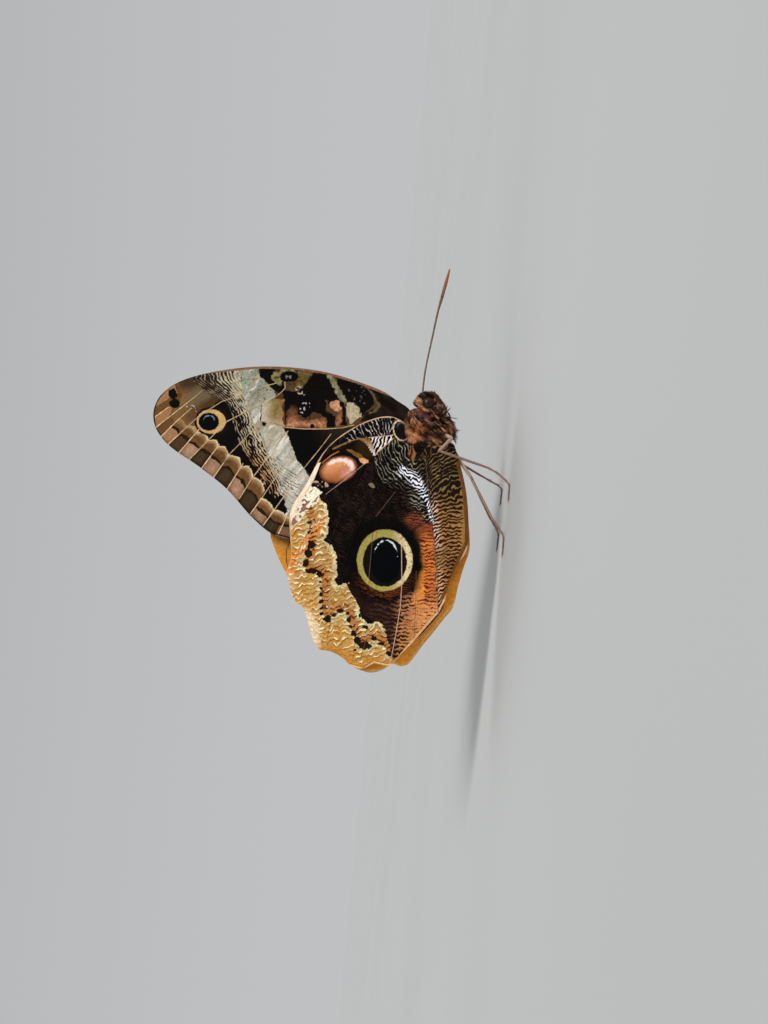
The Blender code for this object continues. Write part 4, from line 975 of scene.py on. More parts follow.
def hindwing_root(c):
    """Pale lines over black, bent round the wing base and lit along a ridge, with a red glow at their end."""
    root = c.patch(ROOT_LINES)
    c.ink(0, srgb(12, 10, 10), root + c.noise(5.0, 60))
    valley = np.interp(c.q, *np.array(ROOT_VALLEY).T)
    level = c.reach(ROOT_BEND) + 0.9 * np.maximum(0.0, c.p - valley)
    broad = 7.5 - 3.8 * c.fade("ridge narrow")
    lit = smooth(broad, 0.35 * broad, c.gap(GLARE_RIDGE) + 1.2 * c.noise(5.0, 85))
    tone = blend(srgb(136, 130, 112), srgb(60, 48, 40), c.fade("root dark") * c.fade("root dark side"))
    tone = blend(tone, srgb(92, 78, 58), smooth(0.0, 2.5, c.p - valley))
    tone = blend(tone, srgb(236, 238, 248), lit)
    half = 0.42 + 0.36 * lit + 0.25 * c.noise(4.0, 86)
    c.ink(1, tone, np.minimum(half - c.waves(level, ROOT_PERIOD, 1.6, 61), root))
    glow = smooth(-2.0, 7.0, c.oval(*ROOT_GLOW) + 2.0 * c.noise(4.0, 62)) * 0.8
    for layer, strength in ((0, 0.3), (1, 1.2)):
        c.cast(layer, srgb(132, 66, 42) * strength, glow)


def owl_eye(c):
    """The large eyespot in its dark halo: a ring, lit from the right, and a shining pupil with a curved
    painted highlight.
    """
    away = c.oval(*HIND_RING)
    halo = smooth(-17.0, -6.0, away + 2.5 * c.noise(7.0, 53))
    c.wash(srgb(8, 6, 6), halo)
    c.cast(0, srgb(7, 5, 5), halo)
    c.cast(1, srgb(10, 8, 8), halo)
    c.cast(0, srgb(128, 66, 24), 0.55 * smooth(-11.0, -2.0, away) * c.fade("ring fire"))
    toward = c.fade("ring pale")
    ring = blend(varied(srgb(166, 152, 80), 0.08 * c.cloud + 0.06 * c.grain), srgb(222, 202, 158), toward)
    ring = blend(ring, srgb(122, 88, 54), smooth(0.3, 0.8, c.noise(1.7, 87)) * toward * 0.7)
    c.ink(0, ring * (0.72 + 0.28 * smooth(0.0, 1.4, away))[:, None], away + 0.4 * c.ragged)
    c.ink(0, srgb(20, 15, 10), c.oval(*HIND_HOLE) + 0.35 * c.ragged)
    pupil = c.oval(*HIND_PUPIL)
    c.ink(0, srgb(5, 8, 10), pupil)
    c.shine(1.0, smooth(-0.5, 1.0, pupil))
    # painted highlight: a pale curved reflection over the top of the pupil
    outer, inner = EYE_HIGHLIGHT_CRESCENT
    highlight_crescent = np.minimum(c.oval(*outer), -c.oval(*inner))
    highlight_crescent = highlight_crescent + 0.8 * c.noise(1.5, 63) - 0.7 * c.fade("crescent thin") - 0.15
    c.ink(1, srgb(204, 218, 222), np.where(c.q < HIGHLIGHT_CRESCENT_END, highlight_crescent, -EMPTY))


def copper_spot(c):
    """Copper mirror spot in its dark surround, with the olive loop and pale tab by it. On the copper, light
    and shade are painted: lighter at its top, darker at its rim, a pale highlight arc, glints and a pink
    sheen.
    """
    c.ink(0, srgb(15, 8, 8), c.oval(*COPPER_SURROUND) + 0.6 * c.ragged)
    loop = blend(srgb(20, 12, 6), srgb(44, 30, 12), c.fade("loop olive"))
    c.ink(0, loop, c.patch(UPPER_LOOP) + 0.4 * c.ragged)
    c.ink(0, varied(srgb(112, 84, 36), 0.3 * c.grain), c.patch(OLIVE_BAND) + 0.5 * c.ragged)
    c.ink(1, srgb(132, 100, 58), 0.8 + 0.4 * c.ragged - c.gap(UPPER_LOOP[:6]))
    c.ink(0, srgb(230, 162, 116), c.patch(TAB) + 0.5 * c.ragged)
    copper = c.oval(*COPPER)
    slope = c.p - COPPER[0][0]
    # painted light: the copper is lighter inward and toward its top
    lit_top = c.fade("copper sunken", 0.35 * slope)
    tone = blend(srgb(140, 74, 40), srgb(222, 148, 96), smooth(-3.0, 7.0, copper) * (0.35 + 0.65 * lit_top))
    # painted pink sheen on the lower right
    tone = blend(tone, srgb(206, 140, 126), smooth(0.0, 5.0, c.oval(*COPPER_PINK_SHEEN)) * 0.8)
    # painted shade: darker toward the rim
    tone = tone * (0.35 + 0.65 * smooth(0.0, 3.0, copper) + 0.08 * c.grain)[:, None]
    # painted highlight: a pale arc inside the upper rim
    highlight_bow = smooth(2.6, 0.6, np.abs(copper - 4.2) + 0.8 * c.noise(2.4, 80))
    highlight_bow = highlight_bow * c.fade("highlight_bow", -0.22 * slope) * c.fade("bow side")
    tone = blend(tone, srgb(250, 226, 216), highlight_bow * 0.95)
    # painted glints, pink-white, on the lower part
    copper_glints = smooth(0.45, 0.8, c.noise(1.5, 88)) * c.fade("copper_glints") * c.fade("sparks side")
    tone = blend(tone, srgb(246, 214, 206), copper_glints * 0.6 * smooth(0.5, 2.0, copper))
    c.ink(0, tone, copper + 0.3 * c.ragged)
    c.shine(0.9, smooth(-0.5, 1.5, copper))
    c.ink(1, srgb(176, 112, 66), 0.5 - c.gap(COPPER_LINE))
    c.ink(1, srgb(190, 150, 128), np.minimum(2.0 * (c.noise(2.0, 65) - 0.2), c.oval(*COPPER_FLECKS)))


def front_zebra(c, lead, lead_run):
    """Zebra bars along the front edge, and the wedge of bars below them."""
    zebra = c.patch(LEAD_ZEBRA)
    c.ink(0, srgb(12, 10, 10), zebra)
    jag = 0.9 * c.noise(5.0, 66) + 1.1 * c.noise(2.2, 89)
    phase = np.interp(lead_run, *np.array(LEAD_COUNTS).T) + (0.1 * lead + jag) / 3.6
    bars = 0.32 + 0.25 * c.noise(4.0, 67) - off_whole(phase) * LEAD_PERIOD
    c.ink(1, srgb(196, 186, 174), np.minimum(bars, zebra))
    wedge = c.patch(WEDGE_ZEBRA)
    c.ink(0, srgb(14, 11, 11), wedge)
    phase = (c.p * 0.93 + c.q * 0.36 + 0.9 * c.noise(5.0, 68) + 0.9 * c.noise(2.0, 90)) / WEDGE_PERIOD
    bars = 0.66 + 0.25 * c.noise(3.0, 81) - off_whole(phase) * WEDGE_PERIOD
    c.ink(1, srgb(236, 226, 216), np.minimum(bars, wedge + 0.3))
    tone = blend(srgb(134, 98, 54), srgb(230, 200, 178), c.fade("wedge foot"))
    c.ink(0, varied(tone, 0.4 * c.grain), c.patch(NARROW_WEDGE) + 0.8 * c.ragged)


def base_marks(c):
    """The rimmed black oval at the wing base, the spot below it, and a pale spot in the disc."""
    rim = blend(srgb(214, 186, 150), srgb(150, 112, 84), c.fade("base rim"))
    c.ink(0, rim, c.oval(*BASE_RIM) + 0.3 * c.ragged)
    glint = smooth(1.1, 0.2, np.abs(c.oval(*BASE_GLINT))) * c.fade("base glint")
    c.ink(0, blend(srgb(18, 13, 13), srgb(120, 116, 124), glint * 0.45), c.oval(*BASE_OVAL))
    strand = noise(c.p + 0.1 * c.q, c.q * 0.25, 1.3, 91)
    tone = blend(srgb(150, 92, 54), srgb(40, 24, 16), smooth(-0.1, 0.5, strand))
    c.ink(0, tone, c.patch(BASE_SPOT) + 1.3 * c.ragged - 0.4)
    c.ink(1, srgb(122, 116, 88), c.oval(*DISC_SPOT) + 1.2 * c.ragged - 0.3)


def hindwing_lines(c, lead):
    """Orange-brown inner margin, pale leading edge and the veins."""
    inner = c.gap(HIND_MARGIN[INNER_MARGIN])
    on_rim = (c.q < INNER_RIM_END) & (c.p > INNER_RIM_LEFT)
    c.ink(2, varied(srgb(118, 76, 36), 0.15 * c.cloud), np.where(on_rim, 4.6 - inner, -EMPTY))
    c.ink(2, srgb(226, 182, 140), np.where(c.q >= INNER_LINE_START, 1.0 - inner, -EMPTY))
    tail = 0.6 - c.gap(HIND_MARGIN[TAIL_MARGIN])
    c.ink(2, srgb(240, 206, 150), np.where(c.q > TAIL_LINE_START, tail, -EMPTY))
    above, below = LEAD_LINE_NARROW
    half = np.where(c.q < above, 0.7, np.where(c.q > below, 0.8, 1.5))
    c.ink(2, srgb(206, 168, 136), half - lead)
    c.ink(2, srgb(244, 222, 196), c.patch(PALE_EDGE))
    for line in HINDWING_LINES:
        c.ink(2, varied(srgb(206, 164, 134), 0.2 * c.noise(4.0, 82)), 0.4 - c.gap(line))
    c.ink(2, srgb(178, 158, 146), 0.3 + 0.12 * c.noise(3.0, 92) - c.gap(COPPER_VEIN))
    for line in HINDWING_FAINT:
        c.ink(2, srgb(96, 72, 56), 0.36 - c.gap(line))


def paint_hindwing(c):
    margin = c.gap(HIND_MARGIN)
    lead, _, lead_run = line_gap(c.p, c.q, LEAD_EDGE)
    disc = c.patch(DISC_EDGE) + 1.2 * c.noise(4.0, 45) + 0.8 * c.noise(1.8, 78)
    reach = c.reach(HIND_BASE)
    border(c, margin, disc)
    dark_disc(c, disc, reach)
    lower_field(c, reach)
    right_strip(c)
    hindwing_root(c)
    owl_eye(c)
    copper_spot(c)
    front_zebra(c, lead, lead_run)
    base_marks(c)
    hindwing_lines(c, lead)


def paint_inner(c, kind):
    """Inner face of either wing: ochre rim, brown field with a violet cast, darker at the root."""
    hind = kind == "hindwing"
    margin = c.gap(HIND_MARGIN if hind else OUTER_MARGIN)
    reach = c.reach(HIND_BASE)
    rim = smooth(46.0, 20.0, margin + 6.0 * c.cloud) if hind else smooth(30.0, 10.0, margin + 4 * c.cloud)
    c.wash(srgb(104, 72, 44))
    c.wash(srgb(74, 58, 60), smooth(150, 60, reach) * 0.8)
    c.wash(srgb(206, 138, 50) if hind else srgb(150, 96, 46), rim)
    # painted light: the hindwing's rim is made brighter gold toward the body side, for the sun shining
    # through it there
    c.wash(srgb(244, 162, 62), rim * c.fade("inner rim painted light") * hind)
    c.wash(srgb(220, 156, 72), rim * smooth(0.0, 0.8, c.cloud) * 0.4)
    c.wash(srgb(58, 44, 36), smooth(70, 15, reach) * 0.8)
    c.ground = varied(c.ground, 0.1 * c.grain)
    for line in HINDWING_LINES if hind else FOREWING_LINES:
        c.ink(2, srgb(120, 78, 44), 0.55 - c.gap(line))
    c.ink(1, srgb(236, 190, 120) if hind else srgb(70, 48, 32), 0.9 - margin)


# WING SHEETS

def body_matrix():
    """Body frame to world, both in millimetres."""
    return Matrix.Translation((BODY_FORWARD, 0.0, BODY_HEIGHT)) @ Matrix.Rotation(-BODY_PITCH, 4, "Y")


TO_WORLD = np.array(body_matrix())


def in_world(points):
    """Body-frame points as world points in millimetres."""
    return np.asarray(points, float) @ TO_WORLD[:3, :3].T + TO_WORLD[:3, 3]


def from_world(points):
    return (np.asarray(points) - TO_WORLD[:3, 3]) @ TO_WORLD[:3, :3]


def spline(points, step, closed=False):
    """Points on a smooth curve through the given ones, about step apart, keeping each given point."""
    pts = np.array(points, float)
    count = len(pts)
    found = []
    spans = count if closed else count - 1
    for i in range(spans):
        if closed:
            p0, p1, p2, p3 = (pts[(i + k) % count] for k in (-1, 0, 1, 2))
        else:
            p1, p2 = pts[i], pts[i + 1]
            p0 = pts[i - 1] if i else 2 * p1 - p2
            p3 = pts[i + 2] if i + 2 < count else 2 * p2 - p1
        k0, k1, k2 = (max(np.linalg.norm(b - a), 1e-6) ** 0.5 for a, b in ((p0, p1), (p1, p2), (p2, p3)))
        m1 = (p2 - p1) - k1 * ((p2 - p0) / (k0 + k1) - (p1 - p0) / k0)
        m2 = (p2 - p1) - k1 * ((p3 - p1) / (k1 + k2) - (p3 - p2) / k2)
        parts = max(1, round(float(np.linalg.norm(p2 - p1)) / step))
        for j in range(parts):
            t = j / parts
            found.append((2 * t**3 - 3 * t**2 + 1) * p1 + (t**3 - 2 * t**2 + t) * m1
                         + (3 * t**2 - 2 * t**3) * p2 + (t**3 - t**2) * m2)
    if not closed:
        found.append(pts[-1])
    return np.array(found)


def nearest_on(points, line):
    """Nearest point of a line to each point, and its distance."""
    best = np.full(len(points), np.inf)
    spot = np.zeros_like(points)
    for a, b in zip(line[:-1], line[1:]):
        way = b - a
        share = np.clip(((points - a) @ way) / max(way @ way, 1e-12), 0, 1)
        foot = a + share[:, None] * way
        gap = np.linalg.norm(points - foot, axis=1)
        closer = gap < best
        best = np.where(closer, gap, best)
        spot = np.where(closer[:, None], foot, spot)
    return spot, best


def root_lift(points):
    reach = np.linalg.norm(points - np.array(WING_ROOT), axis=1) / ROOT_REACH
    return ROOT_SPREAD * np.exp(-reach**2)


def forewing_offset(points):
    """Distance of the forewing's middle layer from the middle of the body, larger round the wing root."""
    return FOREWING_OFFSET + root_lift(points)


def hindwing_offset(points):
    """The hindwing lies outside the forewing, and bows out round the abdomen."""
    offset = HINDWING_OFFSET + root_lift(points)
    axis = np.array([(x, z) for x, z, _ in ABDOMEN_PROFILE])
    hold = 1 - smooth(GUTTER_CORE, GUTTER_EDGE, nearest_on(points, axis)[1])
    return offset + (np.maximum(GUTTER_OFFSET, offset) - offset) * hold


def near_line(points, line, cell):
    """Numbers of the points in or beside the square cells that a line passes through."""
    passed = {(i + di) * CELL_CODE + j + dj for i, j in np.round(line / cell).astype(int)
              for di in (-1, 0, 1) for dj in (-1, 0, 1)}
    at = np.round(points / cell).astype(int)
    return np.flatnonzero(np.isin(at[:, 0] * CELL_CODE + at[:, 1], list(passed)))


def even_net(low, high, step):
    """Rows of points with equal triangles between them."""
    rise = step * math.sqrt(0.75)
    rows, columns = int((high[1] - low[1]) / rise) + 1, int((high[0] - low[0]) / step) + 2
    row, column = np.mgrid[0:rows, 0:columns]
    x = low[0] + (column + 0.5 * (row % 2)) * step
    points = np.column_stack((x.ravel(), (low[1] + row * rise).ravel()))
    a = (row * columns + column)[:-1, :-1].ravel()
    even = (row[:-1, :-1] % 2 == 0).ravel()[:, None]
    right, up, across = a + 1, a + columns, a + columns + 1
    lower = np.where(even, np.column_stack((a, right, up)), np.column_stack((a, right, across)))
    upper = np.where(even, np.column_stack((right, across, up)), np.column_stack((a, across, up)))
    return points, np.vstack((lower, upper))


def sheet_grid(outline, step):
    """An even net that fills an outline, its rim laid on it: points, triangles and distances from the rim."""
    points, faces = even_net(outline.min(axis=0) - 2 * step, outline.max(axis=0) + 2 * step, step)
    ring = np.vstack((outline, outline[:1]))
    near = near_line(points, ring, 2 * step)
    spot, gap = nearest_on(points[near], ring)
    distance = np.full(len(points), FAR)
    distance[near] = gap
    core = inside(points, outline) & (distance > 0.3 * step)
    faces = faces[core[faces].any(axis=1)]
    snapped = points.copy()
    snapped[near] = np.where(core[near][:, None], points[near], spot)
    a, b, c = (snapped[faces[:, k]] for k in range(3))
    area = (b - a)[:, 0] * (c - a)[:, 1] - (b - a)[:, 1] * (c - a)[:, 0]
    faces = faces[area > 1e-7]
    used = np.unique(faces)
    renumber = np.full(len(points), -1)
    renumber[used] = np.arange(len(used))
    return snapped[used], renumber[faces], distance[used] * core[used]


def make_mesh(name, points, faces):
    """A smooth-shaded mesh from world points in millimetres and faces with equal numbers of corners."""
    mesh = bpy.data.meshes.new(name)
    faces = np.asarray(faces)
    mesh.vertices.add(len(points))
    mesh.vertices.foreach_set("co", (np.asarray(points, float) * MM).ravel())
    mesh.loops.add(faces.size)
    mesh.loops.foreach_set("vertex_index", faces.ravel())
    mesh.polygons.add(len(faces))
    mesh.polygons.foreach_set("loop_start", np.arange(0, faces.size, faces.shape[1]))
    mesh.update(calc_edges=True)
    mesh.validate()
    mesh.shade_smooth()
    return mesh


def add_object(name, mesh, material):
    obj = bpy.data.objects.new(name, mesh)
    bpy.context.scene.collection.objects.link(obj)
    mesh.materials.append(material)
    return obj


def set_colours(mesh, name, colours):
    attribute = mesh.attributes.new(name, "FLOAT_COLOR", "POINT")
    attribute.data.foreach_set("color", np.column_stack((colours, np.ones(len(colours)))).ravel())


def set_values(mesh, name, values):
    mesh.attributes.new(name, "FLOAT", "POINT").data.foreach_set("value", np.asarray(values, float))


def set_uv(mesh, places):
    """The OFBake map, from one place for each vertex."""
    layer = mesh.uv_layers.new(name="OFBake")
    corner = np.empty(len(mesh.loops), int)
    mesh.loops.foreach_get("vertex_index", corner)
    layer.data.foreach_set("uv", np.asarray(places)[corner].ravel())


def finish_piece(obj, slot, *nodes):
    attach(obj, "root")
    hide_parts(*nodes)


def joined(parts):
    """Several pairs of points and faces as one pair."""
    starts = np.cumsum([0] + [len(points) for points, _ in parts])
    faces = [np.asarray(faces) + start for (_, faces), start in zip(parts, starts)]
    return np.vstack([points for points, _ in parts]), np.vstack(faces)


def fitted(plane, own, model):
    """Places inside one outline carried to the like places inside another, moved more toward the rim."""
    (across, down), (eye_across, eye_down) = ORIGIN_PIXEL, HIND_RING[0]
    centre = np.array(((down - eye_down) * PIXEL, (across - eye_across) * PIXEL))

    def rim_reach(angles, outline):
        off = outline - centre
        around = np.arctan2(off[:, 1], off[:, 0])
        order = np.argsort(around)
        return np.interp(angles, around[order], np.hypot(off[:, 0], off[:, 1])[order], period=2 * math.pi)

    off = plane - centre
    angles, reach = np.arctan2(off[:, 1], off[:, 0]), np.hypot(off[:, 0], off[:, 1])
    rim = rim_reach(angles, own)
    ratio = rim_reach(angles, model) / rim
    return centre + off * (1.0 + (ratio - 1.0) * smooth(0.4, 0.95, reach / rim))[:, None]


def wing_face(outline, lines, offset, sign, outer, step):
    """One face of a wing: its places in the wing's plane, its points and its triangles."""
    plane, faces, rim = sheet_grid(outline, step)
    crest = np.min([nearest_on(plane, line)[1] for line in lines], axis=0)
    ridge = RIDGE_HEIGHT * smooth(RIDGE_HALF_WIDTH, 0.0, crest)
    pleat = PLEAT_HEIGHT * smooth(0.4, 3.0, crest) * smooth(0.0, 4.0, rim)
    half = 0.5 * SHEET_THICK * smooth(0.0, EDGE_TAPER, rim)
    rise = half + ridge * smooth(0.0, RIDGE_START, rim) if outer else -half
    depth = offset(plane) + pleat + rise
    points = in_world(np.column_stack((plane[:, 0], sign * depth, plane[:, 1])))
    return plane, points, faces[:, ::-1] if (sign < 0) != outer else faces


def face_map(plane, outline, outer):
    """Places of a face on the OFBake map: the outer face in its left part, the inner one in its right."""
    low, high = outline.min(axis=0), outline.max(axis=0)
    share, left = OUTER_MAP if outer else INNER_MAP
    scale = min(share / (high[0] - low[0]), MAP_HEIGHT / (high[1] - low[1]))
    return np.array((left, MAP_FOOT)) + (plane - low) * scale


def painted_face(kind, net, outer, plane, outline):
    """The colours of a face, painted once for the wings that share a net."""
    if (net, outer) not in PAINTED:
        if net == "left_hindwing":
            plane = fitted(plane, outline, spline(HINDWING_OUTLINE, OUTLINE_STEP, closed=True))
        p, q = ORIGIN_PIXEL[0] - plane[:, 1] / PIXEL, ORIGIN_PIXEL[1] - plane[:, 0] / PIXEL
        canvas = Canvas(p, q, *UNEVENNESS[kind if outer else "inner"])
        if not outer:
            paint_inner(canvas, kind)
        elif kind == "forewing":
            paint_forewing(canvas)
        else:
            paint_hindwing(canvas)
        PAINTED[net, outer] = canvas
    return PAINTED[net, outer]


def wing_piece(kind, side, sign, corners, veins, offset, material):
    """One wing: a finely netted outer face that carries the markings, and a plainer inner face."""
    outline = spline(corners, OUTLINE_STEP, closed=True)
    lines = [spline(vein, 1.0) for vein in veins.values()]
    net = "left_hindwing" if corners is LEFT_HINDWING_OUTLINE else kind
    blocks, places, canvases = [], [], []
    for outer in (True, False):
        step = OUTER_STEP[net] if outer else INNER_STEP
        plane, points, faces = wing_face(outline, lines, offset, sign, outer, step)
        blocks.append((points, faces))
        places.append(face_map(plane, outline, outer))
        canvases.append(painted_face(kind, net, outer, plane, outline))
    name = "%s_%s" % (kind, side)
    mesh = make_mesh(name + "_sheet", *joined(blocks))
    set_uv(mesh, np.vstack(places))
    set_colours(mesh, "ground", np.vstack([c.ground for c in canvases]))
    for layer in range(LAYERS):
        set_colours(mesh, "tint_%d" % layer, np.vstack([c.tint[layer] for c in canvases]))
        set_values(mesh, "depth_%d" % layer, np.concatenate([c.depth[layer] for c in canvases]))
    set_values(mesh, "gloss", np.concatenate([c.gloss for c in canvases]))
    finish_piece(add_object(name + "_sheet", mesh, material), kind, name)


# MATERIALS

class Nodes:
    """Short calls for building one material's node tree."""

    def __init__(self, name):
        self.material = bpy.data.materials.new(name)
        self.material.use_nodes = True
        self.tree = self.material.node_tree
        self.shader = self.tree.nodes["Principled BSDF"]

    def add(self, kind, **settings):
        node = self.tree.nodes.new(kind)
        for key, value in settings.items():
            setattr(node, key, value)
        return node

    def link(self, source, target):
        self.tree.links.new(source, target)

    def put(self, socket, value):
        if isinstance(value, bpy.types.NodeSocket):
            self.link(value, socket)
        else:
            socket.default_value = value

    def attribute(self, name, value=False):
        node = self.add("ShaderNodeAttribute", attribute_name=name)
        return node.outputs["Fac" if value else "Color"]

    def math(self, operation, a, b):
        node = self.add("ShaderNodeMath", operation=operation)
        self.put(node.inputs[0], a)
        self.put(node.inputs[1], b)
        return node.outputs[0]

    def ramp(self, value, low, high, to_low=0.0, to_high=1.0):
        node = self.add("ShaderNodeMapRange", interpolation_type="SMOOTHSTEP")
        parts = {"Value": value, "From Min": low, "From Max": high, "To Min": to_low, "To Max": to_high}
        for key, part in parts.items():
            self.put(node.inputs[key], part)
        return node.outputs[0]

    def mix(self, share, a, b, way="MIX"):
        node = self.add("ShaderNodeMix", data_type="RGBA", blend_type=way)
        self.put(node.inputs[0], share)
        for place, colour in ((6, a), (7, b)):
            made = isinstance(colour, bpy.types.NodeSocket)
            self.put(node.inputs[place], colour if made else (*colour, 1.0))
        return node.outputs[2]

    def toned(self, colour, tone):
        """A colour made lighter or darker by a grey tone."""
        grey = self.add("ShaderNodeCombineColor")
        for socket in grey.inputs[:3]:
            self.link(tone, socket)
        return self.mix(1.0, colour, grey.outputs[0], way="MULTIPLY")

    def texture(self, kind, per_mm, stretch, turn):
        node = self.add(kind)
        place = self.add("ShaderNodeMapping")
        self.link(self.add("ShaderNodeTexCoord").outputs["Object"], place.inputs["Vector"])
        place.inputs["Scale"].default_value = stretch
        place.inputs["Rotation"].default_value = turn
        self.link(place.outputs[0], node.inputs["Vector"])
        node.inputs["Scale"].default_value = per_mm / MM
        return node

    def noise(self, per_mm, detail=2.0, stretch=EVEN, turn=STRAIGHT):
        node = self.texture("ShaderNodeTexNoise", per_mm, stretch, turn)
        node.inputs["Detail"].default_value = detail
        return node.outputs[0]

    def cells(self, per_mm, stretch=EVEN, turn=STRAIGHT):
        return self.texture("ShaderNodeTexVoronoi", per_mm, stretch, turn).outputs["Distance"]

    def bump(self, height, distance, strength):
        node = self.add("ShaderNodeBump")
        self.put(node.inputs["Height"], height)
        node.inputs["Distance"].default_value = distance * MM
        node.inputs["Strength"].default_value = strength
        self.link(node.outputs[0], self.shader.inputs["Normal"])

    def set(self, **values):
        for key, value in values.items():
            self.put(self.shader.inputs[key.replace("_", " ")], value)


def wing_material():
    """Layers of marks over a soft ground, broken into rows of scales with their own tone and tilt."""
    n = Nodes("wing_scales")
    colour = n.attribute("ground")
    for layer in range(LAYERS):
        share = n.ramp(n.attribute("depth_%d" % layer, value=True), -EDGE_SOFT, EDGE_SOFT)
        colour = n.mix(share, colour, n.attribute("tint_%d" % layer))
    pitch = (0.0, BODY_PITCH, 0.0)
    rows = n.cells(6.5, stretch=(0.55, 1.0, 1.0), turn=pitch)
    tone = n.noise(7.0, stretch=(0.6, 1.0, 1.0), turn=pitch)
    broad = n.noise(0.9, detail=4.0)
    dust = n.noise(2.6, stretch=(0.7, 1.0, 1.0), turn=pitch)
    shade = n.math("MULTIPLY", n.ramp(tone, 0.3, 0.7, 0.86, 1.12), n.ramp(broad, 0.25, 0.75, 0.93, 1.07))
    shade = n.math("MULTIPLY", shade, n.ramp(dust, 0.3, 0.7, 0.84, 1.14))
    # glossy places have neither the scales' uneven tone nor their roughness
    gloss = n.attribute("gloss", value=True)
    shade = n.math("ADD", shade, n.math("MULTIPLY", gloss, n.math("SUBTRACT", 1.0, shade)))
    rough = n.math("ADD", n.ramp(gloss, 0.0, 1.0, 0.55, 0.14), n.ramp(rows, 0.0, 0.8, -0.05, 0.08))
    n.set(Base_Color=n.toned(colour, shade), Roughness=rough, Specular_IOR_Level=0.03)
    height = n.math("ADD", n.ramp(rows, 0.0, 0.9), n.math("MULTIPLY", tone, 0.6))
    n.bump(n.math("MULTIPLY", height, n.ramp(gloss, 0.2, 0.9, 1.0, 0.15)), 0.035, 0.6)
    return n.material


def skin_material():
    n = Nodes("body_skin")
    fine = n.noise(5.0, detail=4.0)
    n.set(Base_Color=n.toned(n.attribute("coat"), n.ramp(fine, 0.3, 0.7, 0.75, 1.2)))
    n.set(Roughness=n.ramp(fine, 0.2, 0.8, 0.62, 0.85), Specular_IOR_Level=0.2)
    n.bump(n.cells(7.0, stretch=(0.4, 1.0, 1.0)), 0.06, 0.8)
    return n.material


def hair_material():
    n = Nodes("coat_hair")
    fine = n.noise(9.0, stretch=(0.25, 1.0, 1.0))
    n.set(Base_Color=n.toned(n.attribute("coat"), n.ramp(fine, 0.3, 0.7, 0.82, 1.18)))
    n.set(Roughness=n.ramp(fine, 0.2, 0.8, 0.38, 0.58), Specular_IOR_Level=0.16)
    n.bump(n.noise(14.0, stretch=(0.2, 1.0, 1.0)), 0.02, 0.5)
    return n.material


def eye_material():
    """Close-set facets, dark brown with a broken amber glow."""
    n = Nodes("compound_eye")
    glow = n.noise(1.1)
    facets = n.cells(9.0)
    colour = n.mix(n.ramp(glow, 0.35, 0.7), srgb(30, 18, 12), srgb(98, 56, 30))
    colour = n.mix(n.ramp(facets, 0.2, 0.6), colour, srgb(20, 12, 9))
    n.set(Base_Color=colour, Roughness=n.ramp(facets, 0.1, 0.6, 0.16, 0.34), Specular_IOR_Level=0.22)
    n.bump(n.math("SUBTRACT", 1.0, facets), 0.03, 0.7)
    return n.material


def horny_material(name, dark, light, rough):
    """Hard cuticle: two tones broken up finely, with a worn sheen."""
    n = Nodes(name)
    fine = n.noise(6.0, detail=4.0)
    broken = n.math("MULTIPLY", fine, n.math("ADD", n.noise(1.4), 0.5))
    colour = n.mix(n.ramp(broken, 0.3, 0.75), dark, light)
    colour = n.mix(n.attribute("coat_share", value=True), colour, n.attribute("coat"))
    n.set(Base_Color=colour, Roughness=n.ramp(fine, 0.2, 0.8, rough - 0.08, rough + 0.12), Coat_Weight=0.1)
    n.bump(n.cells(10.0, stretch=(0.5, 1.0, 1.0)), 0.02, 0.6)
    return n.material


# BODY

def ring_skin(rings, sides):
    """Triangles over rings of points, with fans over both ends; two last points are the end centres."""
    faces = []
    for r in range(rings - 1):
        for s in range(sides):
            a, b = r * sides + s, r * sides + (s + 1) % sides
            faces += [(a, b, b + sides), (a, b + sides, a + sides)]
    first, last = rings * sides, rings * sides + 1
    base = (rings - 1) * sides
    for s in range(sides):
        faces.append((first, (s + 1) % sides, s))
        faces.append((last, base + s, base + (s + 1) % sides))
    return faces


def tube(route, radii, sides, up=(0.0, 0.0, 1.0)):
    """Points and faces of a round tube along a route."""
    route = np.asarray(route, float)
    way = np.gradient(route, axis=0)
    way /= np.linalg.norm(way, axis=1)[:, None]
    normal = np.array(up, float)
    rings = []
    angles = 2 * math.pi * (np.arange(sides) + 0.5) / sides
    for point, along, radius in zip(route, way, radii):
        normal = normal - (normal @ along) * along
        normal /= np.linalg.norm(normal)
        side = np.cross(along, normal)
        rings.append(point + radius * (np.cos(angles)[:, None] * normal + np.sin(angles)[:, None] * side))
    points = np.vstack((*rings, route[:1], route[-1:]))
    return points, ring_skin(len(route), sides)


def loft(sections, sides, grow):
    """Points and faces of a skin over sections of the body, each moved out by grow."""
    rings = []
    for x, z, half_height, half_width, lean in sections:
        angles = 2 * math.pi * (np.arange(sides) + 0.5) / sides
        lift = max(half_height + grow, 0.1) * np.cos(angles)
        aside = max(half_width + grow, 0.1) * np.sin(angles)
        rings.append(np.column_stack((x + lean * lift, aside, z + lift)))
    ends = [rings[0].mean(axis=0), rings[-1].mean(axis=0)]
    return np.vstack((*rings, ends)), ring_skin(len(rings), sides)


def mirrored(points):
    return np.asarray(points, float) * (1.0, -1.0, 1.0)


def abdomen_sections():
    """Round sections, pinched where one segment meets the next."""
    line = spline(ABDOMEN_PROFILE, 0.4)
    sections = []
    for k in np.linspace(0, 1, 12 * ABDOMEN_SEGMENTS + 1):
        x, z, radius = (float(np.interp(k, np.linspace(0, 1, len(line)), column)) for column in line.T)
        ring = (k * ABDOMEN_SEGMENTS) % 1.0
        pinch = SEGMENT_GROOVE * (1.0 - smooth(0.0, 0.22, ring)) if 0.02 < k < 0.98 else 0.0
        sections.append((x, z, radius - pinch, radius - pinch, 0.0))
    return sections


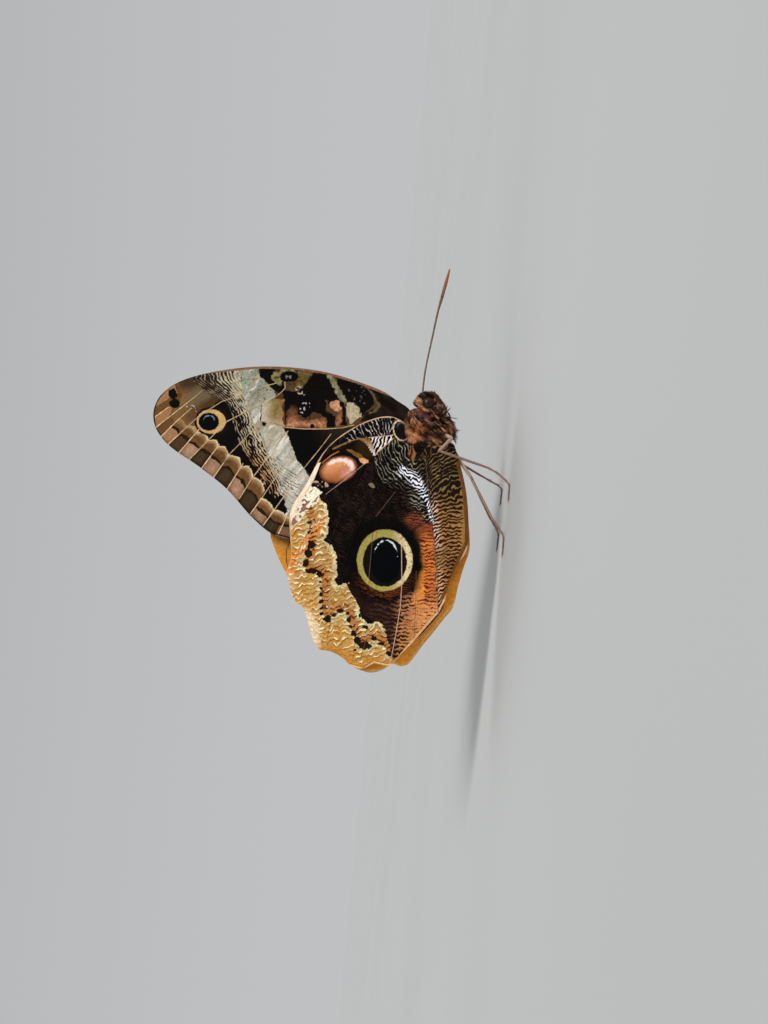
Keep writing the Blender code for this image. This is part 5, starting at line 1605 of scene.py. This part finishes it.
def flesh():
    """The fleshy parts under the coat, in world places, sunk in from the solids by the coat's depth."""
    parts = [loft(spline(THORAX_SECTIONS, 0.7), 48, -COAT_DEPTH),
             loft(spline(HEAD_SECTIONS, 0.5), 40, -COAT_DEPTH * 0.8),
             loft(abdomen_sections(), 40, -COAT_DEPTH * 0.7)]
    parts += [tube(route, radii, 24) for route, radii in FLESH_BRIDGES]
    limbs = ((PALP_ROUTE, PALP_RADII, 0.12, 0.35), (FORELEG_ROUTE, FORELEG_RADII, 0.1, 0.4))
    for turn in (np.asarray, mirrored):
        for route, radii, sunk, step in limbs:
            line = spline([(*p, r - sunk) for p, r in zip(route, radii)], step)
            parts.append(tube(turn(line[:, :3]), line[:, 3], 14))
    return [(in_world(points), faces) for points, faces in parts]


def merged_skin(name, points, faces):
    """One closed mesh of triangles round overlapping parts, relaxed where they meet."""
    raw = bpy.data.objects.new("raw_skin", make_mesh("raw_skin", points, faces))
    bpy.context.scene.collection.objects.link(raw)
    remesh = raw.modifiers.new("blend", "REMESH")
    remesh.mode = "VOXEL"
    remesh.voxel_size = SKIN_VOXEL * MM
    relax = raw.modifiers.new("relax", "SMOOTH")
    relax.factor = 0.5
    relax.iterations = 5
    bpy.context.view_layer.update()
    mesh = bpy.data.meshes.new_from_object(raw.evaluated_get(bpy.context.evaluated_depsgraph_get()))
    bpy.data.objects.remove(raw, do_unlink=True)
    mesh.name = name
    work = bmesh.new()
    work.from_mesh(mesh)
    bmesh.ops.triangulate(work, faces=work.faces)
    work.to_mesh(mesh)
    work.free()
    mesh.shade_smooth()
    mesh.materials.clear()
    return mesh


def mesh_points(mesh):
    """Vertices of a mesh in the body frame, in millimetres."""
    raw = np.empty(len(mesh.vertices) * 3)
    mesh.vertices.foreach_get("co", raw)
    return from_world(raw.reshape(-1, 3) / MM)


def skin_map(points):
    """A wrap round the body's length: along it one way and round it the other."""
    x, y, z = points.T
    middle = np.interp(x, *np.array(BODY_AXIS).T)
    turn = np.arctan2(y, -(z - middle)) / (2 * math.pi) + 0.5
    along = (x - BODY_REAR) / (BODY_FRONT - BODY_REAR)
    return np.column_stack((0.01 + 0.97 * np.clip(along, 0, 1), 0.01 + 0.97 * turn))


def body_skin(material):
    """One unbroken skin over the fleshy parts."""
    mesh = merged_skin("body_skin", *joined(flesh()))
    obj = add_object("body_skin", mesh, material)
    points = mesh_points(mesh)
    # painted shade: the skin under the hair takes the coat's root colour, darkened further
    set_colours(mesh, "coat", coat_colour(points, np.zeros(len(points)), -0.3) * 0.55)
    set_uv(mesh, skin_map(points))
    finish_piece(obj, "body_hair", "thorax", "head", "palp_left", "palp_right",
                 "foreleg_left", "foreleg_right")
    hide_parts("abdomen")
    return obj


# COAT

def oval_reach(x, z, centre, radii):
    """1 on the rim of an oval in the body's side view, and less inside it."""
    return np.hypot((x - centre[0]) / radii[0], (z - centre[1]) / radii[1])


def body_fade(points, name):
    """How far a fade of the body has come in at each place, 0 to 1."""
    axis, none, full = BODY_FADES[name]
    return smooth(none, full, points[:, "xyz".index(axis)])


def coat_colour(points, tip, fleck):
    """Colour of the coat at places in the body frame; tip is 0 at a hair's root and 1 at its end, and a
    tuft's own fleck makes it darker or lighter than its neighbours. Each hair is darkened toward its root as
    painted shade deep in the coat."""
    x, y, z = points.T
    side = np.abs(y)
    fade = partial(body_fade, points)
    across, along = 0.66 * x - 0.75 * z, 0.75 * x + 0.66 * z
    streak = 0.9 * noise(across + 0.3 * side, along * 0.3, 0.75, 81)
    streak = streak + 0.2 * noise(x, z + side, 1.7, 85) + fleck
    blotch = noise(x * 0.8 - z * 0.5, z * 0.9 + side * 0.7, 2.4, 82)
    slant = np.abs(noise(0.77 * x - 0.64 * z, 0.3 * (0.64 * x + 0.77 * z) + side, 1.5, 86))
    thread = smooth(0.15, 0.05, slant)
    colour = np.tile(srgb(168, 88, 52), (len(points), 1))

    def lay(tone, share):
        nonlocal colour
        colour = blend(colour, tone, share)

    # thorax: light streaks and dark blotches, a painted bluish sheen on some blotches and in a patch above,
    # an orange patch by the wing root where orange hair is brightened as a painted highlight, a dark seam
    # that slants down behind them, and thin pale threads over all
    lay(srgb(244, 178, 134), smooth(0.4, 0.85, streak) * 0.95)
    lay(srgb(13, 9, 8), smooth(0.24, 0.06, streak + 0.4 * blotch))
    lay(srgb(54, 52, 66), smooth(0.3, 0.6, blotch) * smooth(0.1, 0.5, noise(x, z, 1.1, 83)) * 0.7)
    bluish_sheen = smooth(1.0, 0.5, oval_reach(x, z, *BLUISH_SHEEN_PATCH))
    lay(srgb(60, 58, 70), bluish_sheen * smooth(-0.1, 0.3, blotch) * 0.6)
    orange = smooth(1.0, 0.4, oval_reach(x, z, *ORANGE_HIGHLIGHT_PATCH))
    lay(srgb(228, 128, 66), orange * smooth(-0.3, 0.3, streak) * 0.7)
    seam = np.abs(x - SEAM_AT[0] - SEAM_SLOPE * (z - SEAM_AT[1]) + 0.6 * blotch)
    lay(srgb(11, 8, 7), smooth(2.1, 1.3, seam) * fade("seam") * 0.92)
    lay(srgb(242, 176, 126), thread * fade("threads") * 0.75)
    # the breast is darker, the upper back brown
    lay(srgb(52, 36, 28), fade("breast") * fade("breast front") * 0.55)
    lay(srgb(84, 58, 42), fade("upper back") * 0.6)
    # abdomen: brown above, buff along the sides and below
    abdomen = fade("abdomen")
    pale_edge = PALE_SIDE_AT[1] + (x - PALE_SIDE_AT[0]) * PALE_SIDE_SLOPE
    lay(srgb(92, 66, 48), abdomen)
    lay(srgb(150, 116, 84), abdomen * smooth(0.5, -2.0, z - pale_edge))
    lay(srgb(60, 44, 36), abdomen * smooth(0.25, 0.6, noise(x * 1.4, side, 1.2, 84)) * 0.5)
    # head: dark brown crown streaked with tan, and greyish pink palps
    head = fade("head")
    palps = fade("palps") * fade("palps low")
    face = np.maximum(palps, head)
    lay(srgb(50, 37, 29), head * fade("crown") * 0.6)
    lay(srgb(150, 112, 88), head * fade("cheek") * smooth(-0.2, 0.5, streak) * 0.5)
    lay(srgb(150, 106, 82), palps * 0.8)
    lay(srgb(24, 16, 12), face * smooth(0.14, 0.3, slant) * 0.8)
    lay(srgb(232, 172, 126), face * thread * 0.8)
    # painted shade: hairs darker at the root, deep in the coat, and lighter toward the tip
    return colour * (0.42 + 0.75 * tip)[:, None]


def coat_lie(points, normals):
    """Which way the coat runs in the body frame: back, down on the flanks, forward on head and palps."""
    fade = partial(body_fade, points)
    low = (fade("flank") * fade("flank front"))[:, None]
    lie = np.array((-1.0, 0.0, -0.12)) + np.array((0.25, 0.0, -0.7)) * low
    lie = blend(lie, np.array((0.15, 0.0, 0.25)), fade("head lie"))
    lie = blend(lie, np.array((0.9, 0.0, 0.55)), fade("palp lie") * fade("palp lie low"))
    lie = lie - np.sum(lie * normals, axis=1)[:, None] * normals
    return lie / np.maximum(np.linalg.norm(lie, axis=1), 1e-6)[:, None]


def tuft_roots(rng, skin_points, skin_faces, chosen, count):
    """Random roots on the chosen part of a skin, and the skin's normal at each."""
    a, b, c = (skin_points[skin_faces[:, k]] for k in range(3))
    cross = np.cross(b - a, c - a)
    area = np.linalg.norm(cross, axis=1)
    weight = area * chosen((a + b + c) / 3)
    pick = rng.choice(len(skin_faces), count, p=weight / weight.sum())
    u, v = rng.random(count), rng.random(count)
    flip = u + v > 1
    u, v = np.where(flip, 1 - u, u), np.where(flip, 1 - v, v)
    root = a[pick] + u[:, None] * (b - a)[pick] + v[:, None] * (c - a)[pick]
    return root, (cross / np.maximum(area, 1e-9)[:, None])[pick]


def tuft_points(rng, root, normal, coat):
    """Corners of the hairs: by tuft, by hair, by step along it and round it. The hairs start close to the
    tuft's root, close in on one point, and are bent along the coat's lie."""
    count = len(root)
    lie = coat_lie(root, normal)
    long = coat.length * rng.uniform(0.7, 1.25, count)
    swing = rng.normal(0, 0.18, count)[:, None]
    lie = lie + swing * np.cross(normal, lie)
    lie /= np.linalg.norm(lie, axis=1)[:, None]
    across = np.cross(normal, lie)
    wet = np.clip(rng.normal(0, 1, (count, coat.hairs, 2)), -1.6, 1.6)
    points = np.zeros((count, coat.hairs, len(HAIR_STEPS), 3, 3))
    for h in range(coat.hairs):
        aside, ahead = wet[:, h, :1], wet[:, h, 1:]
        begin = coat.spread * (aside * across + ahead * lie)
        own = long * (1.0 - 0.4 * rng.random(count) ** 2)
        lean = lie + 0.1 * aside * across
        lean /= np.linalg.norm(lean, axis=1)[:, None]
        for k, s in enumerate(HAIR_STEPS):
            bend = coat.rise * s * (1.0 - 0.45 * s) * (1 + 0.17 * ahead)
            centre = root + (1.0 - 0.8 * s) * begin
            centre = centre + own[:, None] * (s * lean * math.sqrt(1 - coat.rise**2) + bend * normal)
            centre -= 0.05 * (s == 0) * normal
            thick = HAIR_THICKNESS[k] * coat.width
            for j in range(3):
                angle = 2 * math.pi * j / 3 + h
                points[:, h, k, j] = centre + thick * (math.cos(angle) * across + math.sin(angle) * normal)
    return points


def hair_faces(hairs):
    """Faces of so many three-sided hairs, closed at their tips."""
    corners = 3 * len(HAIR_STEPS)
    pattern = []
    for k in range(0, corners - 3, 3):
        for j in range(3):
            p0, p1 = k + j, k + (j + 1) % 3
            pattern += [(p0, p1, p1 + 3), (p0, p1 + 3, p0 + 3)]
    pattern.append((corners - 3, corners - 2, corners - 1))
    return (np.arange(hairs)[:, None, None] * corners + np.array(pattern)).reshape(-1, 3)


def tufts(name, skin, chosen, coat, seed, material, unwrap):
    """Hair in tufts on the chosen part of a skin, each a few thin tapering three-sided spikes."""
    rng = np.random.default_rng(seed)
    root, normal = tuft_roots(rng, *skin, chosen, coat.count)
    points = tuft_points(rng, root, normal, coat)
    steps, total = len(HAIR_STEPS), coat.count * coat.hairs
    each = coat.hairs * steps * 3
    fleck = np.repeat(rng.normal(0.0, 0.5, coat.count), each)
    tone = np.repeat(rng.uniform(0.7, 1.35, coat.count), each)
    tone = tone * np.repeat(rng.uniform(0.85, 1.15, total), steps * 3)
    tip = np.tile(np.repeat(HAIR_STEPS, 3), total)
    mesh = make_mesh(name, in_world(points.reshape(-1, 3)), hair_faces(total))
    colour = coat_colour(np.repeat(root, each, axis=0), tip, fleck) * tone[:, None]
    set_colours(mesh, "coat", np.minimum(colour, BRIGHTEST_HAIR))
    within = np.zeros((coat.count, coat.hairs, steps, 3, 2))
    row = np.arange(coat.hairs)[:, None, None] / coat.hairs
    within[..., 0] = np.array(HAIR_STEPS)[:, None] * TUFT_PATCH
    within[..., 1] = (row + np.arange(3) / (3.0 * coat.hairs)) * TUFT_PATCH
    set_uv(mesh, ((unwrap(root) * 0.99)[:, None, None, None, :] + within).reshape(-1, 2))
    obj = add_object(name, mesh, material)
    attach(obj, "root")


def growth(boxes, p):
    """How thickly hair grows at places of the body: once for each box they are in, and not on the eyes."""
    thick = np.zeros(len(p))
    for x0, x1, z0, z1 in boxes:
        thick += (p[:, 0] > x0) & (p[:, 0] < x1) & (p[:, 2] > z0) & (p[:, 2] < z1)
    for turn in (1, -1):
        centre = np.array((EYE_AT[0], turn * EYE_AT[1], EYE_AT[2]))
        thick *= np.linalg.norm((p - centre) / np.array(EYE_RADII), axis=1) > EYE_CLEAR
    return thick


def body_coat(body, material):
    """All the tufts of the body, longest on the thorax and shortest on the palps and forelegs."""
    mesh = body.data
    faces = np.empty(len(mesh.polygons) * 3, int)
    mesh.polygons.foreach_get("vertices", faces)
    skin = (mesh_points(mesh), faces.reshape(-1, 3))
    for seed, (name, boxes, kind) in enumerate(COATS, FIRST_COAT_SEED):
        tufts(name, skin, partial(growth, boxes), kind, seed, material, skin_map)


def wing_fur(side, sign, material):
    """Hair that spreads from the thorax over the bases of the wings."""
    centre, reach = (np.array(pair) for pair in WING_FUR)
    turned = np.linspace(0, 2 * math.pi, 49)[:-1]
    oval = centre + np.column_stack((np.cos(turned), np.sin(turned))) * reach
    plane, faces, _ = sheet_grid(oval, WING_FUR_NET)
    forewing = spline(FOREWING_OUTLINE, 1.0, closed=True)
    hindwing = spline(HINDWING_OUTLINE, 1.0, closed=True)
    middle = np.where(inside(plane, hindwing), hindwing_offset(plane), forewing_offset(plane))
    points = np.column_stack((plane[:, 0], sign * (middle + 0.5 * SHEET_THICK), plane[:, 1]))

    def thinning(p):
        places = p[:, [0, 2]]
        on_wing = inside(places, forewing) | inside(places, hindwing)
        return smooth(1.0, 0.6, oval_reach(p[:, 0], p[:, 2], centre, reach)) * on_wing

    def flat_map(p):
        return 0.05 + 0.9 * (p[:, [0, 2]] - centre) / (2.0 * reach) + 0.45

    tufts("wing_root_coat_" + side, (points, faces[:, ::-1] if sign > 0 else faces), thinning, WING_FUR_COAT,
          WING_FUR_SEED + sign, material, flat_map)


# EYES, FEELERS, TONGUE AND LEGS

def plain_piece(name, points, faces, material, slot, node, colours=None, share=None):
    """A single hard part in its own piece, in place of its CAD node."""
    mesh = make_mesh(name, in_world(points), faces)
    if colours is not None:
        set_colours(mesh, "coat", colours)
        set_values(mesh, "coat_share", np.full(len(points), share))
    finish_piece(add_object(name, mesh, material), slot, node)


def build_eyes(material):
    ball = bmesh.new()
    bmesh.ops.create_icosphere(ball, subdivisions=5, radius=1.0)
    unit = np.array([tuple(v.co) for v in ball.verts])
    faces = np.array([[v.index for v in f.verts] for f in ball.faces])
    ball.free()
    for side, turn in (("right", 1), ("left", -1)):
        points = np.array((EYE_AT[0], turn * EYE_AT[1], EYE_AT[2])) + unit * np.array(EYE_RADII)
        plain_piece("compound_eye_" + side, points, faces, material, "eye", "eye_" + side)


def build_antennae(material):
    """A thin ringed stalk that thickens to a slender club, buff below its rusty end."""
    for side, turn in (("right", np.asarray), ("left", mirrored)):
        line = spline([(*p, r) for p, r in zip(ANTENNA_ROUTE, ANTENNA_RADII)], 0.16)
        run = np.concatenate(([0.0], np.cumsum(np.linalg.norm(np.diff(line[:, :3], axis=0), axis=1))))
        ring = (run / ANTENNA_RING) % 1.0
        radius = line[:, 3] * (0.9 + 0.12 * np.sin(math.pi * ring)) * smooth(-0.9, 0.25, run[-1] - run)
        radius[0:3] *= (1.25, 1.2, 1.1)
        points, faces = tube(turn(line[:, :3]), radius, LIMB_SIDES)
        along = np.concatenate((np.repeat(run, LIMB_SIDES), run[:1], run[-1:]))
        rings = np.concatenate((np.repeat(ring, LIMB_SIDES), (0, 0)))
        end = smooth(run[-1] - 9.0, run[-1] - 4.0, along)
        tone = blend(srgb(92, 62, 42), srgb(150, 84, 40), end)
        tone = blend(tone, srgb(196, 176, 150), smooth(0.72, 0.9, rings) * 0.55 * (1 - end))
        plain_piece("feeler_" + side, points, faces, material, "antenna", "antenna_" + side, tone, 0.85)


def build_tongue(material):
    """The coiled tongue, ribbed all along."""
    (x0, _, z0), (x1, _, z1) = TONGUE_STEM
    coil = [TONGUE_STEM[0], ((x0 + x1) / 2, 0, (z0 + z1) / 2), TONGUE_STEM[1]]
    for k in range(TONGUE_STEPS + 1):
        turned = TONGUE_TURNS * k / TONGUE_STEPS
        angle = math.pi / 2 + 2 * math.pi * turned
        radius = TONGUE_OUTER - TONGUE_PITCH * turned
        x, z = TONGUE_CENTRE
        coil.append((x + radius * math.sin(angle), 0.0, z + radius * math.cos(angle)))
    line = spline(coil, 0.06)
    share = np.linspace(0, 1, len(line))
    radius = TONGUE_RADIUS * (1.0 - 0.35 * share) * (0.95 + 0.05 * np.sin(share * 2 * math.pi * TONGUE_RIBS))
    points, faces = tube(line, radius, 14, up=(0.0, 1.0, 0.0))
    tone = np.tile(srgb(70, 42, 24), (len(points), 1))
    plain_piece("coiled_tongue", points, faces, material, "antenna", "proboscis", tone, 0.4)


def leg_stops(leg):
    """Joints of a leg in the body frame: given points from the hip to the knee, then down to the claws."""
    floor = np.array([(x + BODY_FORWARD, y, z) for x, y, z in leg["floor"]])
    return np.vstack((np.asarray(leg["body"], float), from_world(floor)))


def leg_route(stops):
    """Close points along a leg, softened at its joints, with its radius and its part's number at each."""
    dense, thick, parts = [], [], []
    for k, (here, there) in enumerate(zip(stops[:-1], stops[1:])):
        count = max(4, int(np.linalg.norm(there - here) / 0.18))
        s = np.arange(count) / count
        dense.append(here + s[:, None] * (there - here))
        swell = 1.0 + 0.16 * np.sin(math.pi * s) if k <= SHIN else 1.0 + 0.1 * np.cos(2 * math.pi * s)
        thick.append((LEG_RADII[k] * (1 - s) + LEG_RADII[k + 1] * s) * swell)
        parts.append(np.full(count, k))
    route = np.vstack((*dense, stops[-1:]))
    radius = np.concatenate((*thick, [LEG_RADII[-1] * 0.6]))
    padded = np.vstack((route[:1].repeat(2, 0), route, route[-1:].repeat(2, 0)))
    route = np.column_stack([np.convolve(padded[:, k], np.ones(5) / 5, "valid") for k in range(3)])
    return route, radius, np.concatenate((*parts, [len(stops) - 1]))


def leg_spikes(route, radius, part, rng):
    """Bristles all along the shin and foot, and a pair of spurs where the shin ends."""
    spikes = []
    for k in range(0, len(route), 2):
        if part[k] >= SHIN:
            for turn in range(3):
                spikes.append((k, 2 * math.pi * (turn / 3 + rng.random()), *BRISTLE))
    for k in np.flatnonzero(np.diff(part) > 0):
        if SHIN < part[k] < FIRST_TOE:
            spikes += [(k, 0.6, *SPUR), (k, -0.6, *SPUR)]
    ways = np.gradient(route, axis=0)
    ways /= np.linalg.norm(ways, axis=1)[:, None]
    cones = []
    for k, angle, length, wide in spikes:
        side = np.cross(ways[k], (0.0, 0.0, 1.0))
        side /= max(np.linalg.norm(side), 1e-6)
        out = math.cos(angle) * side + math.sin(angle) * np.cross(side, ways[k])
        foot = route[k] + out * radius[k] * 0.8
        tip = foot + length * (0.75 * ways[k] + 0.55 * out)
        if in_world(tip[None])[0, 2] >= 0.03:
            cones.append(tube(np.linspace(foot, tip, 3), (wide, wide * 0.7, 0.008), 5, up=tuple(out + 0.01)))
    return cones


def leg_claws(stops):
    """A pair of small hooks that spread over the floor in front of the toe."""
    toe = in_world(stops[-1:])[0]
    way = toe - in_world(stops[-2:-1])[0]
    way[2] = 0
    way /= np.linalg.norm(way)
    hooks = []
    for turn in (-1, 1):
        aside = np.array((-way[1], way[0], 0.0)) * turn
        hook = np.array([toe + ahead * way + beside * aside + (0, 0, up) for ahead, beside, up in CLAW])
        hook[:, 2] = np.maximum(hook[:, 2], 0.04)
        hook = spline(hook, 0.12)
        hooks.append(tube(from_world(hook), np.linspace(0.09, 0.015, len(hook)), 8))
    return hooks


def build_legs(material):
    """Thigh, shin with two spurs, five-jointed foot and a pair of claws, all closely scaled."""
    for name, leg in LEGS.items():
        stops = leg_stops(leg)
        route, radius, part = leg_route(stops)
        points, faces = tube(route, radius, LIMB_SIDES)
        world = in_world(points)
        world[:, 2] = np.maximum(world[:, 2], 0.0)
        rng = np.random.default_rng(len(name) + 7)
        extras = leg_spikes(route, radius, part, rng) + leg_claws(stops)
        at = np.concatenate((np.repeat(part, LIMB_SIDES), part[:1], part[-1:]))[:, None]
        foot = np.where(at > FIRST_TOE, srgb(96, 68, 52), srgb(128, 98, 78))
        tone = np.where(at < SHIN, srgb(182, 154, 134), foot)
        points, faces = joined([(from_world(world), faces), *extras])
        colours = np.vstack((tone, np.tile(srgb(86, 56, 40), (len(points) - len(tone), 1))))
        plain_piece(name + "_jointed", points, faces, material, "leg", name, colours, 0.75)


# STAGE, LIGHT AND CAMERA

def build_stage():
    """A pale floor that reaches so far that it melts into the room."""
    mesh = bpy.data.meshes.new("floor")
    corners = ((-1, -1), (1, -1), (1, 1), (-1, 1))
    mesh.from_pydata([(FLOOR_REACH * x, FLOOR_REACH * y, 0.0) for x, y in corners], [], [(0, 1, 2, 3)])
    n = Nodes("pale_floor")
    tone = n.mix(n.noise(0.004), srgb(180, 182, 182), srgb(187, 189, 189))
    n.set(Base_Color=tone, Roughness=0.9, Specular_IOR_Level=0.0)
    add_object("floor", mesh, n.material)


def soft_sun(name, place, strength, spread, tint):
    """A broad lamp far off in the direction of place, so that the floor is lit evenly."""
    data = bpy.data.lights.new(name, "SUN")
    data.energy = strength
    data.angle = math.radians(spread)
    data.color = tint
    obj = bpy.data.objects.new(name, data)
    obj.location = place
    obj.rotation_euler = (-Vector(place)).to_track_quat("-Z", "Y").to_euler()
    bpy.context.scene.collection.objects.link(obj)


def build_light():
    """A pale room, a little brighter low down, and three soft suns."""
    world = bpy.data.worlds.new("pale_room")
    world.use_nodes = True
    nodes, links = world.node_tree.nodes, world.node_tree.links
    split = nodes.new("ShaderNodeSeparateXYZ")
    climb = nodes.new("ShaderNodeMapRange")
    climb.interpolation_type = "SMOOTHSTEP"
    for key, value in (("From Min", 0.0), ("From Max", 0.5), ("To Min", ROOM_LOW), ("To Max", ROOM_HIGH)):
        climb.inputs[key].default_value = value
    links.new(nodes.new("ShaderNodeTexCoord").outputs["Generated"], split.inputs[0])
    links.new(split.outputs["Z"], climb.inputs["Value"])
    links.new(climb.outputs[0], nodes["Background"].inputs["Strength"])
    nodes["Background"].inputs["Color"].default_value = ROOM_TINT
    bpy.context.scene.world = world
    for sun in SUNS:
        soft_sun(*sun)


def build_camera():
    data = bpy.data.cameras.new("photo_camera")
    data.sensor_width = SENSOR
    data.sensor_fit = "AUTO"
    data.lens = FOCAL_PIXELS / PHOTO_HEIGHT * SENSOR
    data.clip_start = 0.01
    camera = bpy.data.objects.new("photo_camera", data)
    right = Vector((math.sin(BODY_PITCH), 0.0, -math.cos(BODY_PITCH)))
    up = Vector((math.cos(BODY_PITCH), 0.0, math.sin(BODY_PITCH)))
    turn = Matrix((right, up, right.cross(up))).transposed().to_4x4()
    camera.matrix_world = Matrix.Translation([c * MM for c in CAMERA_AT]) @ turn
    bpy.context.scene.collection.objects.link(camera)
    bpy.context.scene.camera = camera


def main():
    bpy.context.scene.view_settings.view_transform = "Standard"
    scales = wing_material()
    for side, sign in SIDES:
        wing_piece("forewing", side, sign, FOREWING_OUTLINE, FOREWING_VEINS, forewing_offset, scales)
        corners = HINDWING_OUTLINE if side == "right" else LEFT_HINDWING_OUTLINE
        wing_piece("hindwing", side, sign, corners, HINDWING_VEINS, hindwing_offset, scales)
    skin = body_skin(skin_material())
    hair = hair_material()
    body_coat(skin, hair)
    for side, sign in SIDES:
        wing_fur(side, sign, hair)
    build_eyes(eye_material())
    build_antennae(horny_material("feeler_cuticle", srgb(58, 38, 28), srgb(128, 92, 62), 0.42))
    build_tongue(horny_material("tongue_cuticle", srgb(46, 28, 18), srgb(104, 66, 38), 0.32))
    build_legs(horny_material("leg_cuticle", srgb(70, 46, 34), srgb(168, 128, 98), 0.46))
    build_stage()
    build_light()
    build_camera()


main()
